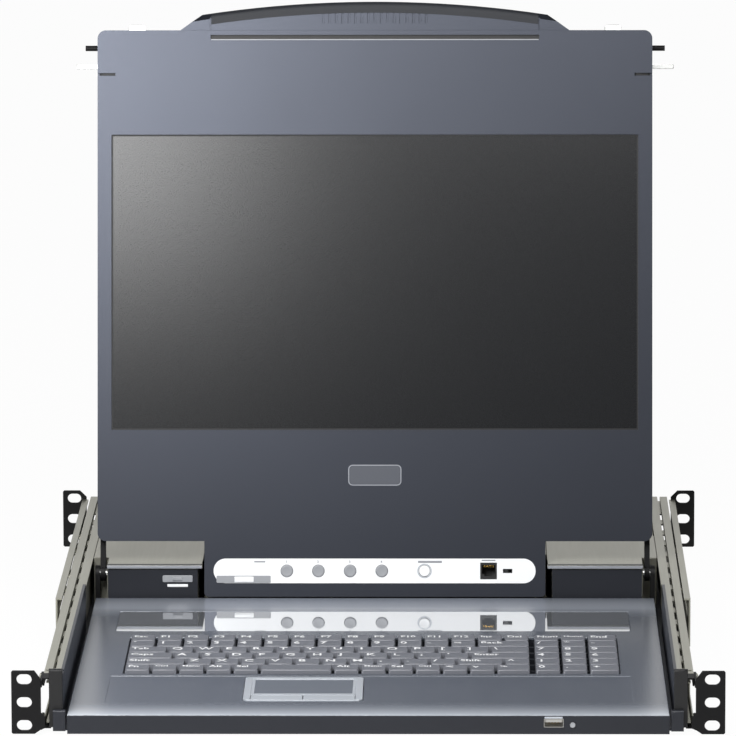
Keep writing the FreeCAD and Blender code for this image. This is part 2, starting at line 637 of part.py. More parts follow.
def deck_panel():
    """Keyboard deck: a moulded cover with openings for keys and touchpad and two shallow recesses."""
    front, rear = BEZEL_LIP, DECK_REAR
    shape = block(-DECK_HALF, DECK_HALF, front, rear, FLOOR_TOP, DECK_TOP)
    inner = block(-DECK_HALF + DECK_WALL, DECK_HALF - DECK_WALL, BEZEL_THICK - 1, rear - DECK_WALL,
                  FLOOR_TOP - 1, DECK_TOP - DECK_WALL)
    nose = block(-DECK_HALF - 1, DECK_HALF + 1, front - 1, BEZEL_THICK, FLOOR_TOP - 1, DECK_TOP - DECK_WALL)
    around = KEY_GAP / 2 + TOUCH_GAP
    keys = block(KEYS_LEFT - around, keyboard_right() + around, KEYS_FRONT - around, keyboard_rear() + around,
                 DECK_TOP - 2 * DECK_WALL, DECK_TOP + 1)
    gap = TOUCH_GAP
    pad = cut_corner_block(PAD_LEFT - gap, PAD_LEFT + PAD_WIDTH + gap, PAD_FRONT - gap,
                           PAD_FRONT + PAD_DEPTH + gap, DECK_TOP - 2 * DECK_WALL, DECK_TOP + 1, PAD_CORNER)
    strip = block(-STRIP_HALF, STRIP_HALF, STRIP_FRONT, STRIP_FRONT + STRIP_DEPTH, DECK_TOP - STRIP_SINK,
                  DECK_TOP + 1)
    palm = block(-PALM_HALF, PALM_HALF, PALM_FRONT, PALM_FRONT + PALM_DEPTH, DECK_TOP - PALM_SINK, DECK_TOP + 1)
    return shape.cut([inner, nose, keys, pad, strip, palm])


def gloss_strip():
    """Thin glossy inlay in the recess behind the keys."""
    gap = TOUCH_GAP
    return cut_corner_block(-STRIP_HALF + gap, STRIP_HALF - gap, STRIP_FRONT + gap,
                            STRIP_FRONT + STRIP_DEPTH - gap, DECK_TOP - STRIP_SINK, DECK_TOP - 0.1, 1.0)


# Widths of the keys in each row, in key columns, from the left, and the rows from the rear.
KEY_ROWS = {
    "function": [1.0] * 15,
    "number": [1.0] * 13 + [2.0],
    "upper": [1.5] + [1.0] * 12 + [1.5],
    "home": [1.75] + [1.0] * 11 + [2.25],
    "lower": [2.25] + [1.0] * 10 + [1.75, 1.0],
    "bottom": [1.25, 1.0, 1.0, 1.25, 4.0, 1.25, 1.0, 1.0, 1.25, 1.0, 1.0],
}
ROW_ORDER = ["bottom", "lower", "home", "upper", "number", "function"]
SPACE_INDEX = 4
PAD_COLUMNS = 3
MODIFIER_ENDS = ("upper", "home", "lower")


def keyboard_rear():
    """Rear edge of the key field."""
    return KEYS_FRONT + KEY_ROW * len(ROW_ORDER) - KEY_GAP / 2


def keyboard_right():
    """Right edge of the key field, the side block included."""
    return KEYS_LEFT + KEY_COLUMN * (len(KEY_ROWS["function"]) + PAD_COLUMNS) + KEY_BLOCK_GAP


def key(x0, x1, y0, y1):
    """One key: a block that leans in on all four sides, with its foot between the base's ribs."""
    d = KEY_DRAFT
    low = [(x0, y0, KEY_BOTTOM), (x1, y0, KEY_BOTTOM), (x1, y1, KEY_BOTTOM), (x0, y1, KEY_BOTTOM)]
    high = [(x0 + d, y0 + d, KEY_TOP), (x1 - d, y0 + d, KEY_TOP), (x1 - d, y1 - d, KEY_TOP), (x0 + d, y1 - d, KEY_TOP)]
    sides = [outline([low[k], low[(k + 1) % 4], high[(k + 1) % 4], high[k]]) for k in range(4)]
    return Part.Solid(Part.Shell(sides + [outline(low[::-1]), outline(high)]))


def key_row(name, row):
    """The keys of one row as (index, solid) pairs."""
    x = KEYS_LEFT
    y0 = KEYS_FRONT + row * KEY_ROW
    keys = []
    for index, width in enumerate(KEY_ROWS[name]):
        x1 = x + width * KEY_COLUMN
        keys.append((index, key(x, x1 - KEY_GAP, y0, y0 + KEY_ROW - KEY_GAP)))
        x = x1
    return keys


def key_groups():
    """All keys sorted into the groups that a typist would name."""
    groups = {"function_keys": [], "main_keys": [], "modifier_keys": [], "space_bar": [], "numpad_keys": []}
    for row, name in enumerate(ROW_ORDER):
        for index, shape in key_row(name, row):
            last = len(KEY_ROWS[name]) - 1
            if name == "function":
                groups["function_keys"].append(shape)
            elif name == "bottom" and index == SPACE_INDEX:
                groups["space_bar"].append(shape)
            elif name == "bottom" or name in MODIFIER_ENDS and index in (0, last):
                groups["modifier_keys"].append(shape)
            else:
                groups["main_keys"].append(shape)
        x0 = KEYS_LEFT + KEY_COLUMN * len(KEY_ROWS["function"]) + KEY_BLOCK_GAP
        y0 = KEYS_FRONT + row * KEY_ROW
        for column in range(PAD_COLUMNS):
            x = x0 + column * KEY_COLUMN
            groups["numpad_keys"].append(key(x, x + KEY_COLUMN - KEY_GAP, y0, y0 + KEY_ROW - KEY_GAP))
    return groups


def keyboard_base():
    """Plate under the keys with ribs between the rows, which guide the feet of the keys, on feet."""
    x0, x1 = KEYS_LEFT - BASE_MARGIN, keyboard_right() + BASE_MARGIN
    y0, y1 = KEYS_FRONT - BASE_MARGIN, keyboard_rear() + BASE_MARGIN
    groove = KEY_BOTTOM - KEY_TRAVEL - TOUCH_GAP
    shape = block(x0, x1, y0, y1, groove - BASE_THICK, BASE_TOP)
    cuts = []
    for row in range(len(ROW_ORDER)):
        y = KEYS_FRONT + row * KEY_ROW
        cuts.append(block(x0 + BASE_MARGIN - TOUCH_GAP, x1 - BASE_MARGIN + TOUCH_GAP, y - TOUCH_GAP,
                          y + KEY_ROW - KEY_GAP + TOUCH_GAP, groove, BASE_TOP + 1))
    feet = [block(x, x + 8, y0, y1, FLOOR_TOP, groove - BASE_THICK) for x in (x0, -4, x1 - 8)]
    return shape.cut(cuts).fuse(feet).removeSplitter()


def touchpad_frame():
    """Rim around the touchpad and its two buttons, with a floor under them."""
    x0, x1 = PAD_LEFT, PAD_LEFT + PAD_WIDTH
    y0, y1 = PAD_FRONT, PAD_FRONT + PAD_DEPTH
    shape = cut_corner_block(x0, x1, y0, y1, DECK_TOP - 4.5, DECK_TOP + 0.3, PAD_CORNER)
    rim = PAD_RIM
    pocket = block(x0 + rim, x1 - rim, y0 + 2, y1 - rim, DECK_TOP - 3.2, DECK_TOP + 1)
    post = block(x0 + 20, x1 - 20, y0 + 20, y1 - 20, FLOOR_TOP, DECK_TOP - 4.5)
    return shape.cut(pocket).fuse(post).removeSplitter()


def touchpad():
    """The touch surface."""
    rim, gap = PAD_RIM, PAD_BUTTON_GAP
    return block(PAD_LEFT + rim + gap / 2, PAD_LEFT + PAD_WIDTH - rim - gap / 2,
                 PAD_FRONT + 2 + PAD_BUTTON_DEPTH + gap, PAD_FRONT + PAD_DEPTH - rim - gap / 2,
                 DECK_TOP - 3.2, DECK_TOP - 0.6)


def touchpad_button(side):
    """One of the two buttons in front of the touch surface."""
    gap, middle = PAD_BUTTON_GAP / 2, PAD_LEFT + PAD_WIDTH / 2
    outer = PAD_WIDTH / 2 - PAD_RIM - gap
    x0, x1 = (middle - outer, middle - gap) if side < 0 else (middle + gap, middle + outer)
    shape = block(x0, x1, PAD_FRONT + 2 + gap, PAD_FRONT + 2 + PAD_BUTTON_DEPTH - gap / 2,
                  DECK_TOP - 2.3, DECK_TOP - 0.2)
    return shape.makeChamfer(0.5, edges_at(shape, AXIS_X, lambda c: c.z > DECK_TOP - 1 and c.y < PAD_FRONT + 5))


# ==== chassis behind the deck ==============================================================================
def corner_box():
    """Right corner box in front of the cover seam, open below, its top overhanging side and fascia."""
    def plan(near, inset):
        far = CHASSIS_HALF - inset
        return [(near, BOX_FRONT + inset), (BOX_OUTER - inset, BOX_FRONT + inset),
                (BOX_OUTER - inset, BOX_SHOULDER + inset), (far, BOX_SHOULDER + inset),
                (far, COVER_SEAM - inset), (near, COVER_SEAM - inset)]
    wall = BOX_INNER + BOX_SIDE
    shape = profile_z(plan(wall, 0), FLOOR_TOP, CHASSIS_TOP)
    hollow = profile_z(plan(wall + SHEET, SHEET), FLOOR_TOP - 1, CHASSIS_TOP - SHEET)
    top = block(BOX_INNER, wall, BOX_FRONT - LIP_REACH, COVER_SEAM, CHASSIS_TOP - SHEET, CHASSIS_TOP)
    brim = block(BOX_INNER, BOX_OUTER, BOX_FRONT - LIP_REACH, BOX_FRONT, CHASSIS_TOP - SHEET, CHASSIS_TOP)
    fold = block(BOX_INNER, BOX_OUTER, BOX_FRONT - LIP_REACH, BOX_FRONT - LIP_REACH + 1,
                 CHASSIS_TOP - LIP_HEIGHT, CHASSIS_TOP)
    return shape.cut(hollow).fuse([top, brim, fold]).removeSplitter()


def box_fascia():
    """Dark front plate of the right corner box."""
    return block(BOX_INNER + BOX_SIDE, BOX_OUTER - 0.6, BOX_FRONT - 0.8, BOX_FRONT, FLOOR_TOP, FASCIA_TOP)


def bridge_cover():
    """Cover between the corner boxes, with the floor of the recess for the lid's tail."""
    half = BOX_INNER - TOUCH_GAP
    shape = block(-half, half, WELL_REAR, COVER_SEAM, FLOOR_TOP, CHASSIS_TOP)
    hollow = block(-half + SHEET, half - SHEET, WELL_REAR + SHEET, COVER_SEAM - SHEET, FLOOR_TOP - 1,
                   CHASSIS_TOP - SHEET)
    tray = block(-half, half, DECK_REAR + 0.6, WELL_REAR, FLOOR_TOP, WELL_FLOOR)
    under = block(-half + SHEET, half - SHEET, DECK_REAR + 0.6 + SHEET, WELL_REAR + SHEET, FLOOR_TOP - 1,
                  WELL_FLOOR - SHEET)
    return shape.fuse(tray).cut([hollow, under]).removeSplitter()


def rear_cover():
    """Folded cover over the electronics, standing on the floor plate."""
    y0, y1 = COVER_SEAM + 0.4, DRAWER_REAR - SHEET
    shape = block(-CHASSIS_HALF, CHASSIS_HALF, y0, y1, FLOOR_TOP, CHASSIS_TOP)
    hollow = block(-CHASSIS_HALF + SHEET, CHASSIS_HALF - SHEET, y0 - 1, y1 + 1, FLOOR_TOP - 1, CHASSIS_TOP - SHEET)
    shape = shape.cut(hollow)
    return shape.makeChamfer(0.9, edges_at(shape, AXIS_Y, lambda c: c.z > CHASSIS_TOP - 0.1))


def socket_openings(y0, y1, gap):
    """The room that the sockets on the board need in the rear panel."""
    wide, tall = SOCKET_WIDTH / 2 + gap, SOCKET_TALL / 2 + gap
    cuts = [block(x - wide, x + wide, y0, y1, SOCKET_HEIGHT - tall, SOCKET_HEIGHT + tall) for x in SOCKET_PLACES]
    cuts.append(block(SERIAL_PLACE - 6 - gap, SERIAL_PLACE + 6 + gap, y0, y1, BOARD_TOP - gap, BOARD_TOP + 11 + gap))
    return cuts


def rear_panel():
    """Rear wall with its connector openings and a row of vents."""
    y0, y1 = DRAWER_REAR - SHEET, DRAWER_REAR
    shape = block(-CHASSIS_HALF, CHASSIS_HALF, y0, y1, FLOOR_TOP, CHASSIS_TOP)
    cuts = socket_openings(y0 - 1, y1 + 1, TOUCH_GAP)
    gap = TOUCH_GAP
    cuts.append(block(INLET_PLACE - INLET_WIDTH / 2 - gap, INLET_PLACE + INLET_WIDTH / 2 + gap, y0 - 1, y1 + 1,
                      INLET_HEIGHT - INLET_TALL / 2 - gap, INLET_HEIGHT + INLET_TALL / 2 + gap))
    for place in range(VENT_COUNT):
        x = VENT_LEFT + place * VENT_PITCH
        cuts.append(block(x, x + VENT_WIDTH, y0 - 1, y1 + 1, FLOOR_TOP + 7, CHASSIS_TOP - 8))
    return shape.cut(cuts)


def power_inlet():
    """Power inlet with blades and a pocket for the rocker, on a foot that stands on the floor."""
    x0, x1 = INLET_PLACE - INLET_WIDTH / 2, INLET_PLACE + INLET_WIDTH / 2
    z0, z1 = INLET_HEIGHT - INLET_TALL / 2, INLET_HEIGHT + INLET_TALL / 2
    rear = DRAWER_REAR + 1.2
    shape = block(x0, x1, rear - INLET_DEPTH, rear, z0, z1)
    mouth_x = x0 + 4 + MOUTH_WIDTH / 2
    mouth = block(mouth_x - MOUTH_WIDTH / 2, mouth_x + MOUTH_WIDTH / 2, rear - MOUTH_DEPTH, rear + 1,
                  INLET_HEIGHT - MOUTH_TALL / 2, INLET_HEIGHT + MOUTH_TALL / 2)
    mouth = mouth.makeChamfer(4, edges_at(mouth, AXIS_Y, lambda c: c.z > INLET_HEIGHT))
    shape = shape.cut([mouth, rocker_pocket()])
    blades = []
    for step, lift in ((-7, -2), (0, 2), (7, -2)):
        blades.append(block(mouth_x + step - 1, mouth_x + step + 1, rear - MOUTH_DEPTH, rear - 5.4,
                            INLET_HEIGHT + lift - 2, INLET_HEIGHT + lift + 2))
    foot = block(x0 + 4, x1 - 4, rear - INLET_DEPTH, rear - INLET_DEPTH + 6, FLOOR_TOP, z0)
    return shape.fuse(blades + [foot]).removeSplitter()


def rocker_place():
    """Pivot of the rocker as (x, y)."""
    return INLET_PLACE + INLET_WIDTH / 2 - 4 - ROCKER_WIDTH / 2, DRAWER_REAR - 5.2


def rocker_pocket():
    """Pocket and pivot holes of the rocker."""
    x, y = rocker_place()
    half, tall = ROCKER_WIDTH / 2 + TOUCH_GAP, ROCKER_TALL / 2 + 1.4
    pocket = block(x - half, x + half, y - 6, y + 12, INLET_HEIGHT - tall, INLET_HEIGHT + tall)
    pivot = rod((x - half - 2, y, INLET_HEIGHT), 1.5 + RUN_FIT, 2 * half + 4, AXIS_X)
    return pocket.fuse(pivot)


def rocker_switch():
    """Rocker with its pivots, pressed in at the top."""
    x, y = rocker_place()
    half, tall = ROCKER_WIDTH / 2, ROCKER_TALL / 2
    points = [(y - 3, -tall + 2), (y + 6.6, -tall), (y + 5.0, 0), (y + 6.6, tall), (y - 3, tall - 2)]
    body = profile_x([(a, INLET_HEIGHT + b) for a, b in points], x - half, x + half)
    pivots = rod((x - half - 1.8, y, INLET_HEIGHT), 1.5, 2 * half + 3.6, AXIS_X)
    shape = body.fuse(pivots).removeSplitter()
    shape.rotate(Vector(x, y, INLET_HEIGHT), AXIS_X, -ROCKER_ANGLE)
    return shape


def main_board():
    """Circuit board with the sockets that reach through the rear panel, on stand-off feet."""
    rear = DRAWER_REAR + 1.0
    left, right = -CHASSIS_HALF + BOARD_MARGIN, BOARD_RIGHT
    y0, y1 = DRAWER_REAR - 2 - BOARD_LENGTH, DRAWER_REAR - 2
    board = block(left, right, y0, y1, BOARD_TOP - BOARD_THICK, BOARD_TOP)
    pieces = []
    wide, tall = SOCKET_WIDTH / 2, SOCKET_TALL / 2
    for x in SOCKET_PLACES:
        body = block(x - wide, x + wide, rear - 14, rear, SOCKET_HEIGHT - tall, SOCKET_HEIGHT + tall)
        nose = block(x - 9, x + 9, rear, rear + 5, SOCKET_HEIGHT - 4.5, SOCKET_HEIGHT + 4.5)
        nose = nose.makeChamfer(2, edges_at(nose, AXIS_Y, lambda c: c.z < SOCKET_HEIGHT))
        nuts = [hexagon(x + side * SOCKET_NUTS, SOCKET_HEIGHT, 2.4, rear, rear + 4) for side in (-1, 1)]
        foot = block(x - wide, x + wide, rear - 14, rear - 4, BOARD_TOP, SOCKET_HEIGHT - tall)
        pieces += [body, nose, foot] + nuts
    x = SERIAL_PLACE
    hood = block(x - 6, x + 6, rear - 16, rear, BOARD_TOP, BOARD_TOP + 11)
    bore = block(x - 4.4, x + 4.4, rear - 10, rear + 1, BOARD_TOP + 1.5, BOARD_TOP + 9.5)
    tongue = block(x - 2.8, x + 2.8, rear - 10, rear - 1.5, BOARD_TOP + 4.0, BOARD_TOP + 7.0)
    pieces += [hood.cut(bore), tongue]
    feet = [block(a, a + BOARD_FOOT, b, b + BOARD_FOOT, FLOOR_TOP, BOARD_TOP - BOARD_THICK)
            for a in (left + 4, right - 4 - BOARD_FOOT) for b in (y0 + 4, y1 - 20)]
    return board.fuse(pieces + feet).removeSplitter()


def power_supply():
    """Closed supply unit with cooling fins, inside the rear cover."""
    x0, x1 = SUPPLY_LEFT, CHASSIS_HALF - SUPPLY_MARGIN
    y1 = DRAWER_REAR - SUPPLY_REAR
    y0 = y1 - SUPPLY_LENGTH
    top = CHASSIS_TOP - SHEET - SUPPLY_DROP
    shape = block(x0, x1, y0, y1, FLOOR_TOP, top)
    count = int((x1 - x0 - FIN_PITCH) // FIN_PITCH)
    grooves = [block(x0 + step * FIN_PITCH, x0 + step * FIN_PITCH + FIN_GROOVE, y0 - 1, y1 + 1, top - FIN_DEPTH,
                     top + 1) for step in range(1, count + 1)]
    return shape.cut(grooves)


# ==== hinges ===================================================================================================
def hinge_bracket():
    """Right hinge bracket of the drawer: a knuckle on a post and foot."""
    x0 = ARM_INNER + ARM_PLATE + KNUCKLE_GAP
    x1 = x0 + KNUCKLE_WIDTH
    knuckle = rod((x0, HINGE_Y, HINGE_Z), KNUCKLE_RADIUS, KNUCKLE_WIDTH, AXIS_X)
    post = block(x0, x1, HINGE_Y - KNUCKLE_RADIUS, HINGE_Y + KNUCKLE_RADIUS, FLOOR_TOP, HINGE_Z)
    foot = block(BOX_OUTER + 0.8, x1, HINGE_Y - 9, HINGE_Y + 10, FLOOR_TOP, FLOOR_TOP + 2)
    bore = rod((x0 - 1, HINGE_Y, HINGE_Z), HINGE_PIN_RADIUS + RUN_FIT, KNUCKLE_WIDTH + 2, AXIS_X)
    return knuckle.fuse([post, foot]).cut(bore).removeSplitter()


def hinge_pin():
    """Right hinge pin, through the lid's knuckle and the bracket."""
    x0 = ARM_INNER - 1.0
    x1 = ARM_INNER + ARM_PLATE + KNUCKLE_GAP + KNUCKLE_WIDTH
    return rod((x0, HINGE_Y, HINGE_Z), HINGE_PIN_RADIUS, x1 - x0, AXIS_X)


def hinge_arm():
    """Right hinge arm of the lid: a knuckle with a plate that reaches up inside the shell."""
    x0, x1 = ARM_INNER, ARM_INNER + ARM_PLATE
    knuckle = rod((x0, HINGE_Y, HINGE_Z), KNUCKLE_RADIUS, ARM_PLATE, AXIS_X)
    plate = lid_block(x0, x1, 0, ARM_REACH, LID_BACK + LID_WALL, ARM_OUT)
    bore = rod((x0 - 1, HINGE_Y, HINGE_Z), HINGE_PIN_RADIUS + RUN_FIT, ARM_PLATE + 2, AXIS_X)
    return opened(knuckle.fuse(plate).cut(bore).removeSplitter())


# ==== lid ======================================================================================================
def lid_plan(inset):
    """Corner points of the lid's T shaped outline."""
    side, tail = LID_HALF - inset, TAIL_HALF - inset
    top, bottom, end = LID_TOP - inset, LID_BOTTOM + inset, TAIL_END + inset
    return [(-side, top), (side, top), (side, bottom), (tail, bottom), (tail, end), (-tail, end),
            (-tail, bottom), (-side, bottom)]


def round_plan(shape, inset):
    """Round the six outer corners of a T shaped plate."""
    side, end = LID_HALF - inset, HINGE_Y - TAIL_END - inset
    shape = shape.makeFillet(LID_CORNER - inset, edges_at(shape, AXIS_Z, lambda c: abs(c.x) > side - 0.1))
    return shape.makeFillet(TAIL_CORNER - inset, edges_at(shape, AXIS_Z, lambda c: c.y > end - 0.1))


def socket_holes(out0, out1):
    """Openings for the port and the switch of the control strip."""
    half = PORT_SIZE / 2 + PRESS_GAP
    port = lid_block(PORT_PLACE - half, PORT_PLACE + half, STRIP_MIDDLE - half, STRIP_MIDDLE + half, out0, out1)
    slot = lid_block(SWITCH_PLACE - 3.4, SWITCH_PLACE + 3.4, STRIP_MIDDLE - 1.5, STRIP_MIDDLE + 1.5, out0, out1)
    return [port, slot]


def button_holes(out0, out1):
    """Round openings for the buttons of the control strip."""
    cuts = [lid_rod(x, STRIP_MIDDLE, out0, out1, BUTTON_RADIUS + PRESS_GAP) for x in BUTTON_PLACES]
    cuts.append(lid_rod(POWER_PLACE, STRIP_MIDDLE, out0, out1, POWER_RADIUS + PRESS_GAP))
    return cuts


def collar_window(out0, out1):
    """One opening in the display frame for the collars of all the buttons."""
    reach = BUTTON_RADIUS + BUTTON_COLLAR + PRESS_GAP
    return lid_block(BUTTON_PLACES[0] - reach, POWER_PLACE + reach, STRIP_MIDDLE - reach, STRIP_MIDDLE + reach,
                     out0, out1)


def lid_shell():
    """Back shell of the lid: a shallow T shaped tray with openings for arms, pins and thumb slides."""
    shape = round_plan(lid_outline(lid_plan(0), LID_BACK, FRAME_BACK), 0)
    hollow = round_plan(lid_outline(lid_plan(LID_WALL), LID_BACK + LID_WALL, FRAME_BACK + 1), LID_WALL)
    shape = shape.cut(hollow)
    cuts = []
    for side in (-1, 1):
        inner, outer = ARM_INNER - TOUCH_GAP, ARM_INNER + ARM_PLATE + 0.2
        x0, x1 = sorted((side * inner, side * outer))
        cuts.append(lid_block(x0, x1, LID_BOTTOM - 1, LID_BOTTOM + LID_CORNER, LID_BACK + LID_WALL,
                              ARM_OUT + TOUCH_GAP))
        x0, x1 = sorted((side * (LID_HALF - 2 * LID_WALL), side * (LID_HALF + 1)))
        half, thin = LATCH_WIDE / 2 + RUN_FIT, LATCH_THICK / 2 + RUN_FIT
        cuts.append(block(x0, x1, LATCH_Y - half, LATCH_Y + half, PIN_LEVEL - thin, PIN_LEVEL + thin))
        near = side * (THUMB_PLACE + THUMB_WIDTH / 2 + TOUCH_GAP)
        far = side * (THUMB_PLACE - THUMB_WIDTH / 2 - LATCH_TRAVEL - TOUCH_GAP)
        x0, x1 = sorted((near, far))
        cuts.append(lid_block(x0, x1, LID_TOP - 2 * LID_WALL, LID_TOP + 1, -THUMB_THICK + 1.5 - TOUCH_GAP,
                              1.5 + TOUCH_GAP))
    return opened(shape.cut(cuts))


def lid_frame():
    """Display frame: the T shaped front with the screen opening and the control openings."""
    shape = round_plan(lid_outline(lid_plan(0), FRAME_BACK, LID_FACE), 0)
    back, face = FRAME_BACK - 1, LID_FACE + 1
    window = lid_block(-SCREEN_WIDTH / 2, SCREEN_WIDTH / 2, SCREEN_BASE, SCREEN_BASE + SCREEN_HEIGHT, back, face)
    groove = lid_block(-GRIP_SPLIT, GRIP_SPLIT, LID_TOP - GROOVE_DROP, LID_TOP - GROOVE_DROP + GROOVE_HEIGHT,
                       back, face)
    slit = LID_TOP - SLIT_DROP
    slits = [lid_block(x, x + SLIT_LENGTH + 1, slit - SLIT_HEIGHT / 2, slit + SLIT_HEIGHT / 2, back, face)
             for x in (-LID_HALF - 1, LID_HALF - SLIT_LENGTH)]
    return opened(shape.cut([window, groove, collar_window(back, face)] + slits + socket_holes(back, face)))


def lcd_panel():
    """Flat screen module behind the frame."""
    half = SCREEN_WIDTH / 2 + PANEL_MARGIN - 1.5
    out1 = FRAME_BACK - TOUCH_GAP
    return opened(lid_block(-half, half, SCREEN_BASE - PANEL_MARGIN, SCREEN_BASE + SCREEN_HEIGHT + PANEL_MARGIN,
                            out1 - PANEL_THICK, out1))


def control_strip():
    """Control strip with round ends on the lid's tail."""
    half = STRIP_HEIGHT / 2
    x0, x1 = STRIP_LEFT, STRIP_LEFT + STRIP_WIDTH
    shape = lid_block(x0, x1, STRIP_MIDDLE - half, STRIP_MIDDLE + half, LID_FACE, LID_FACE + STRIP_PROUD)
    shape = shape.makeFillet(half - 0.2, along(shape, AXIS_Z))
    back, face = LID_FACE - 1, LID_FACE + STRIP_PROUD + 1
    return opened(shape.cut(button_holes(back, face) + socket_holes(back, face)))


def control_button(x, radius):
    """Round push button with the square collar that keeps it behind the control strip."""
    top = LID_FACE - TOUCH_GAP
    stem = lid_rod(x, STRIP_MIDDLE, top, LID_FACE + STRIP_PROUD + BUTTON_PROUD, radius)
    half = radius + BUTTON_COLLAR
    collar = lid_block(x - half, x + half, STRIP_MIDDLE - half, STRIP_MIDDLE + half, top - BUTTON_COLLAR, top)
    return opened(stem.fuse(collar).removeSplitter())


def recovery_switch():
    """Tiny slide knob with its plate behind the frame."""
    x0 = SWITCH_PLACE - SWITCH_TRAVEL / 2
    knob = lid_block(x0 - 1.2, x0 + 1.2, STRIP_MIDDLE - 1.1, STRIP_MIDDLE + 1.1, FRAME_BACK - 1.3,
                     LID_FACE + STRIP_PROUD + 0.3)
    plate = lid_block(x0 - 2.2, x0 + 2.2, STRIP_MIDDLE - 2.2, STRIP_MIDDLE + 2.2, FRAME_BACK - 1.3,
                      FRAME_BACK - TOUCH_GAP)
    return opened(knob.fuse(plate).removeSplitter())


def phone_port():
    """Square modular socket with a stepped mouth."""
    half = PORT_SIZE / 2
    face = LID_FACE + STRIP_PROUD + 0.2
    back = LID_BACK + LID_WALL
    shape = lid_block(PORT_PLACE - half, PORT_PLACE + half, STRIP_MIDDLE - half, STRIP_MIDDLE + half, back, face)
    wide, tall = PORT_MOUTH_WIDTH / 2, PORT_MOUTH_HEIGHT / 2
    middle = STRIP_MIDDLE + 1.0
    mouth = lid_block(PORT_PLACE - wide, PORT_PLACE + wide, middle - tall, middle + tall, face - 11, face + 1)
    notch = lid_block(PORT_PLACE - 3, PORT_PLACE + 3, middle - tall - 1.4, middle - tall, face - 11, face + 1)
    return opened(shape.cut([mouth, notch]))


def grip():
    """Carrying grip on the lid's top edge: arched outline, sloped shoulders, finger groove and ribs."""
    base = LID_TOP
    crest = Part.Arc(Vector(-GRIP_HALF, HINGE_Y - base - GRIP_SHOULDER, 0),
                     Vector(0, HINGE_Y - base - GRIP_CREST, 0),
                     Vector(GRIP_HALF, HINGE_Y - base - GRIP_SHOULDER, 0)).toShape()
    foot = HINGE_Y - base
    corners = [Vector(GRIP_HALF, foot - GRIP_SHOULDER, 0), Vector(GRIP_FOOT, foot, 0),
               Vector(-GRIP_FOOT, foot, 0), Vector(-GRIP_HALF, foot - GRIP_SHOULDER, 0)]
    sides = [Part.makeLine(corners[i], corners[i + 1]) for i in range(3)]
    face = Part.Face(Part.Wire([crest] + sides))
    face.translate(Vector(0, 0, HINGE_Z - LID_FACE))
    shape = face.extrude(Vector(0, 0, LID_FACE - LID_BACK))
    rim = [edge for edge in shape.Edges if edge.Curve.TypeId == "Part::GeomCircle"]
    shape = shape.makeChamfer(GRIP_ROUND, rim)
    cuts = [lid_block(-GRIP_HALF + 8, GRIP_HALF - 8, base + 1.5, base + 8.5, LID_BACK - 1, LID_BACK + 7)]
    for side in (-1, 1):
        x = side * GRIP_SPLIT
        cuts.append(lid_block(x - SEAM_WIDTH / 2, x + SEAM_WIDTH / 2, base - 1, base + GRIP_CREST,
                              LID_FACE - SEAM_DEPTH, LID_FACE + 1))
    for place in range(RIB_COUNT):
        x = (place - (RIB_COUNT - 1) / 2) * RIB_PITCH
        cuts.append(lid_block(x - RIB_WIDTH / 2, x + RIB_WIDTH / 2, base + RIB_FOOT, base + RIB_FOOT + RIB_LENGTH, LID_FACE - RIB_DEPTH,
                              LID_FACE + 1))
    return opened(shape.cut(cuts))


def guide_pin():
    """Right guide pin, a stud on the lid's side near its top corner."""
    return opened(rod((LID_HALF, GUIDE_PIN_Y, PIN_LEVEL), GUIDE_PIN_RADIUS, GUIDE_PIN_REACH - LID_HALF, AXIS_X))


def latch():
    """Right latch: a flat bolt with a carriage and the thumb slide on the lid's top edge."""
    inner = THUMB_PLACE - THUMB_WIDTH / 2
    half, thin = LATCH_WIDE / 2, LATCH_THICK / 2
    bolt = block(inner, LATCH_REACH, LATCH_Y - half, LATCH_Y + half, PIN_LEVEL - thin, PIN_LEVEL + thin)
    out1 = 1.5
    out0 = out1 - THUMB_THICK
    carriage = lid_block(inner, inner + THUMB_WIDTH, LID_TOP - LATCH_DROP - 3, LID_TOP + THUMB_HEIGHT, out0, out1)
    crest = edges_at(carriage, AXIS_Z, lambda c: c.y < HINGE_Y - LID_TOP)
    carriage = carriage.makeChamfer(1.5, crest)
    return opened(bolt.fuse(carriage).removeSplitter())


# ==== writing the nodes ====================================================================================
def right_and_left():
    """Nodes that exist once on each side, as right hand solids."""
    return {"front_ear": front_ear(), "outer_channel": fixed_channel(), "rear_arm": rear_arm(),
            "rear_ear": rear_ear(), "ball_cage": ball_cage(), "side_channel": side_channel(),
            "corner_box": corner_box(), "latch": latch()}


def twins():
    """Nodes that hold a piece and its twin."""
    return {"inner_slides": inner_slide(), "rail_caps": rail_cap(), "corner_blocks": corner_block(),
            "box_fascias": box_fascia(), "hinge_brackets": hinge_bracket(), "hinge_pins": hinge_pin(),
            "hinge_arms": hinge_arm(), "guide_pins": guide_pin()}


def singles():
    """Nodes that exist once."""
    return {"drawer_floor": floor_tray(), "front_bezel": front_bezel(), "deck_panel": deck_panel(),
            "gloss_strip": gloss_strip(), "keyboard_base": keyboard_base(), "touchpad_frame": touchpad_frame(),
            "touchpad": touchpad(), "usb_port": usb_port(), "reset_button": reset_button(),
            "touchpad_button_left": touchpad_button(-1), "touchpad_button_right": touchpad_button(1),
            "bridge_cover": bridge_cover(), "rear_cover": rear_cover(), "rear_panel": rear_panel(),
            "power_inlet": power_inlet(), "rocker_switch": rocker_switch(), "main_board": main_board(),
            "power_supply": power_supply(), "lid_shell": lid_shell(), "lid_frame": lid_frame(),
            "lcd_panel": lcd_panel(), "control_strip": control_strip(), "phone_port": phone_port(),
            "grip": grip(), "recovery_switch": recovery_switch(),
            "power_button": control_button(POWER_PLACE, POWER_RADIUS)}


